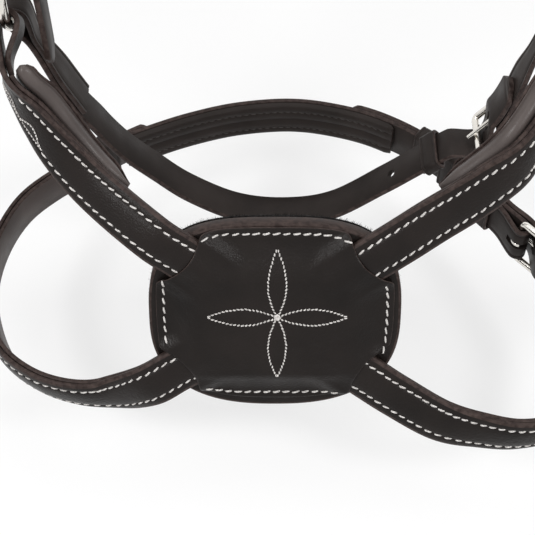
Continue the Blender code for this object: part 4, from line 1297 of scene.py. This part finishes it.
def dress_fleece():
    level = -base_thickness - gap
    piece = dress_slab("fleece_pad", "nose_fleece", fleece_width, fleece_height, fleece_thickness, level,
                       fleece_material, fleece_material, fleece_round)
    chance = random.Random(seed)
    outline = oval_outline(fleece_width / 2, fleece_height / 2)
    verts, faces = [], []
    for index in range(fibre_count):
        if index % fibre_cycle < fibre_on_back:
            angle, far = chance.uniform(0, 2 * math.pi), math.sqrt(chance.random()) * fibre_field
            share = oval_share(math.cos(angle), math.sin(angle), base_powers)
            x = fleece_width / 2 * far * math.cos(angle) / share
            y = fleece_height / 2 * far * math.sin(angle) / share + base_shift
            root = Vector((x, y, level - fleece_thickness + fibre_sink))
            facing = Vector((chance.gauss(0, fibre_spread), chance.gauss(0, fibre_spread), -1)).normalized()
        else:
            spot, share = chance.randrange(len(outline)), chance.random()
            (x, y), (next_x, next_y) = outline[spot], outline[(spot + 1) % len(outline)]
            depth = chance.uniform(*fibre_depths)
            edge = Vector((next_y - y, x - next_x, 0)).normalized()
            root = Vector((x + (next_x - x) * share, y + (next_y - y) * share,
                           level - fleece_thickness * depth))
            root -= edge * fibre_root
            loose = Vector([chance.gauss(0, fibre_edge_spread) for axis in range(3)])
            facing = (edge + loose).normalized()
        length = fibre_length * chance.uniform(*fibre_lengths)
        sideways = facing.orthogonal().normalized() * fibre_width / 2
        curl = facing.cross(sideways).normalized() * length * chance.uniform(-fibre_curl, fibre_curl)
        start = len(verts)
        for share, wide in fibre_taper:
            at = root + facing * length * share + curl * share * share
            verts += [pad_matrix @ (at - sideways * wide), pad_matrix @ (at + sideways * wide)]
        faces += [(start, start + 1, start + 3, start + 2), (start + 2, start + 3, start + 5, start + 4)]
    finish_piece("fleece_fibres", verts, faces, [fleece_material], sharp=0)


# Studio
def seen_rays(tree):
    """A socket that is 1 for rays that show the background: the camera's, mirrored and refracted ones."""
    paths = tree.nodes.new("ShaderNodeLightPath").outputs
    seen = paths["Is Camera Ray"]
    for ray in ("Is Glossy Ray", "Is Transmission Ray"):
        seen = add_node(tree, "Math", {0: seen, 1: paths[ray]}, "Value", operation="MAXIMUM")
    return seen


def build_floor():
    """A pale floor that keeps the object's shadow and is partly white by itself to seen rays."""
    mesh = bmesh.new()
    bmesh.ops.create_grid(mesh, x_segments=1, y_segments=1, size=floor_size)
    data = mesh_data("floor", mesh)
    floor = place_object("floor", data, (0, 0, cad_box[0].z - swing_clear))
    material, tree, shader = new_material("floor_white", floor_color, floor_rough)
    data.materials.append(material)
    glow = add_node(tree, "Emission", {"Color": white, "Strength": 1.0}, "Emission")
    part = add_node(tree, "Math", {0: seen_rays(tree), 1: floor_glow}, "Value", operation="MULTIPLY")
    paled = add_node(tree, "MixShader", {"Fac": part, 1: shader.outputs["BSDF"], 2: glow}, "Shader")
    fill(tree, tree.nodes["Material Output"], {"Surface": paled})


def build_world():
    """Light on the object at world_light, and a white background for seen rays."""
    world = bpy.data.worlds.new("studio")
    bpy.context.scene.world = world
    world.use_nodes = True
    tree = world.node_tree
    fill(tree, tree.nodes["Background"], {"Color": white, "Strength": world_light})
    shown = add_node(tree, "Background", {"Color": white, "Strength": 1.0}, "Background")
    lit = tree.nodes["Background"].outputs["Background"]
    mix = add_node(tree, "MixShader", {"Fac": seen_rays(tree), 1: lit, 2: shown}, "Shader")
    fill(tree, tree.nodes["World Output"], {"Surface": mix})


def build_studio():
    build_floor()
    build_world()
    for name, place, size, power in lamps:
        light = bpy.data.lights.new(name, "AREA")
        light.shape = "DISK"
        light.size = size
        light.energy = power
        lamp = place_object(name, light, place)
        lamp.rotation_euler = (lamp_aim - Vector(place)).to_track_quat("-Z", "Y").to_euler()
    data = bpy.data.cameras.new("camera")
    data.sensor_width = camera_sensor
    data.lens = camera_lens
    data.clip_start, data.clip_end = camera_clip
    camera = place_object("camera", data, camera_place)
    camera.rotation_euler = camera_look.to_track_quat("-Z", "Y").to_euler()
    bpy.context.scene.camera = camera
    bpy.context.scene.view_settings.view_transform = "Standard"


build_studio()
for arm_side in (-1, 1):
    dress_upper_arm(arm_side)
dress_lower_loop()
dress_crown()
dress_jaw()
dress_ring("left", ring_left_x)
dress_ring("right", ring_right_x)
dress_cover()
dress_pad_stitches()
dress_slab("pad_base", "nose_base", base_width, base_height, base_thickness, 0.0, face_leather, edge_leather,
           base_round)
dress_fleece()
bpy.context.view_layer.update()
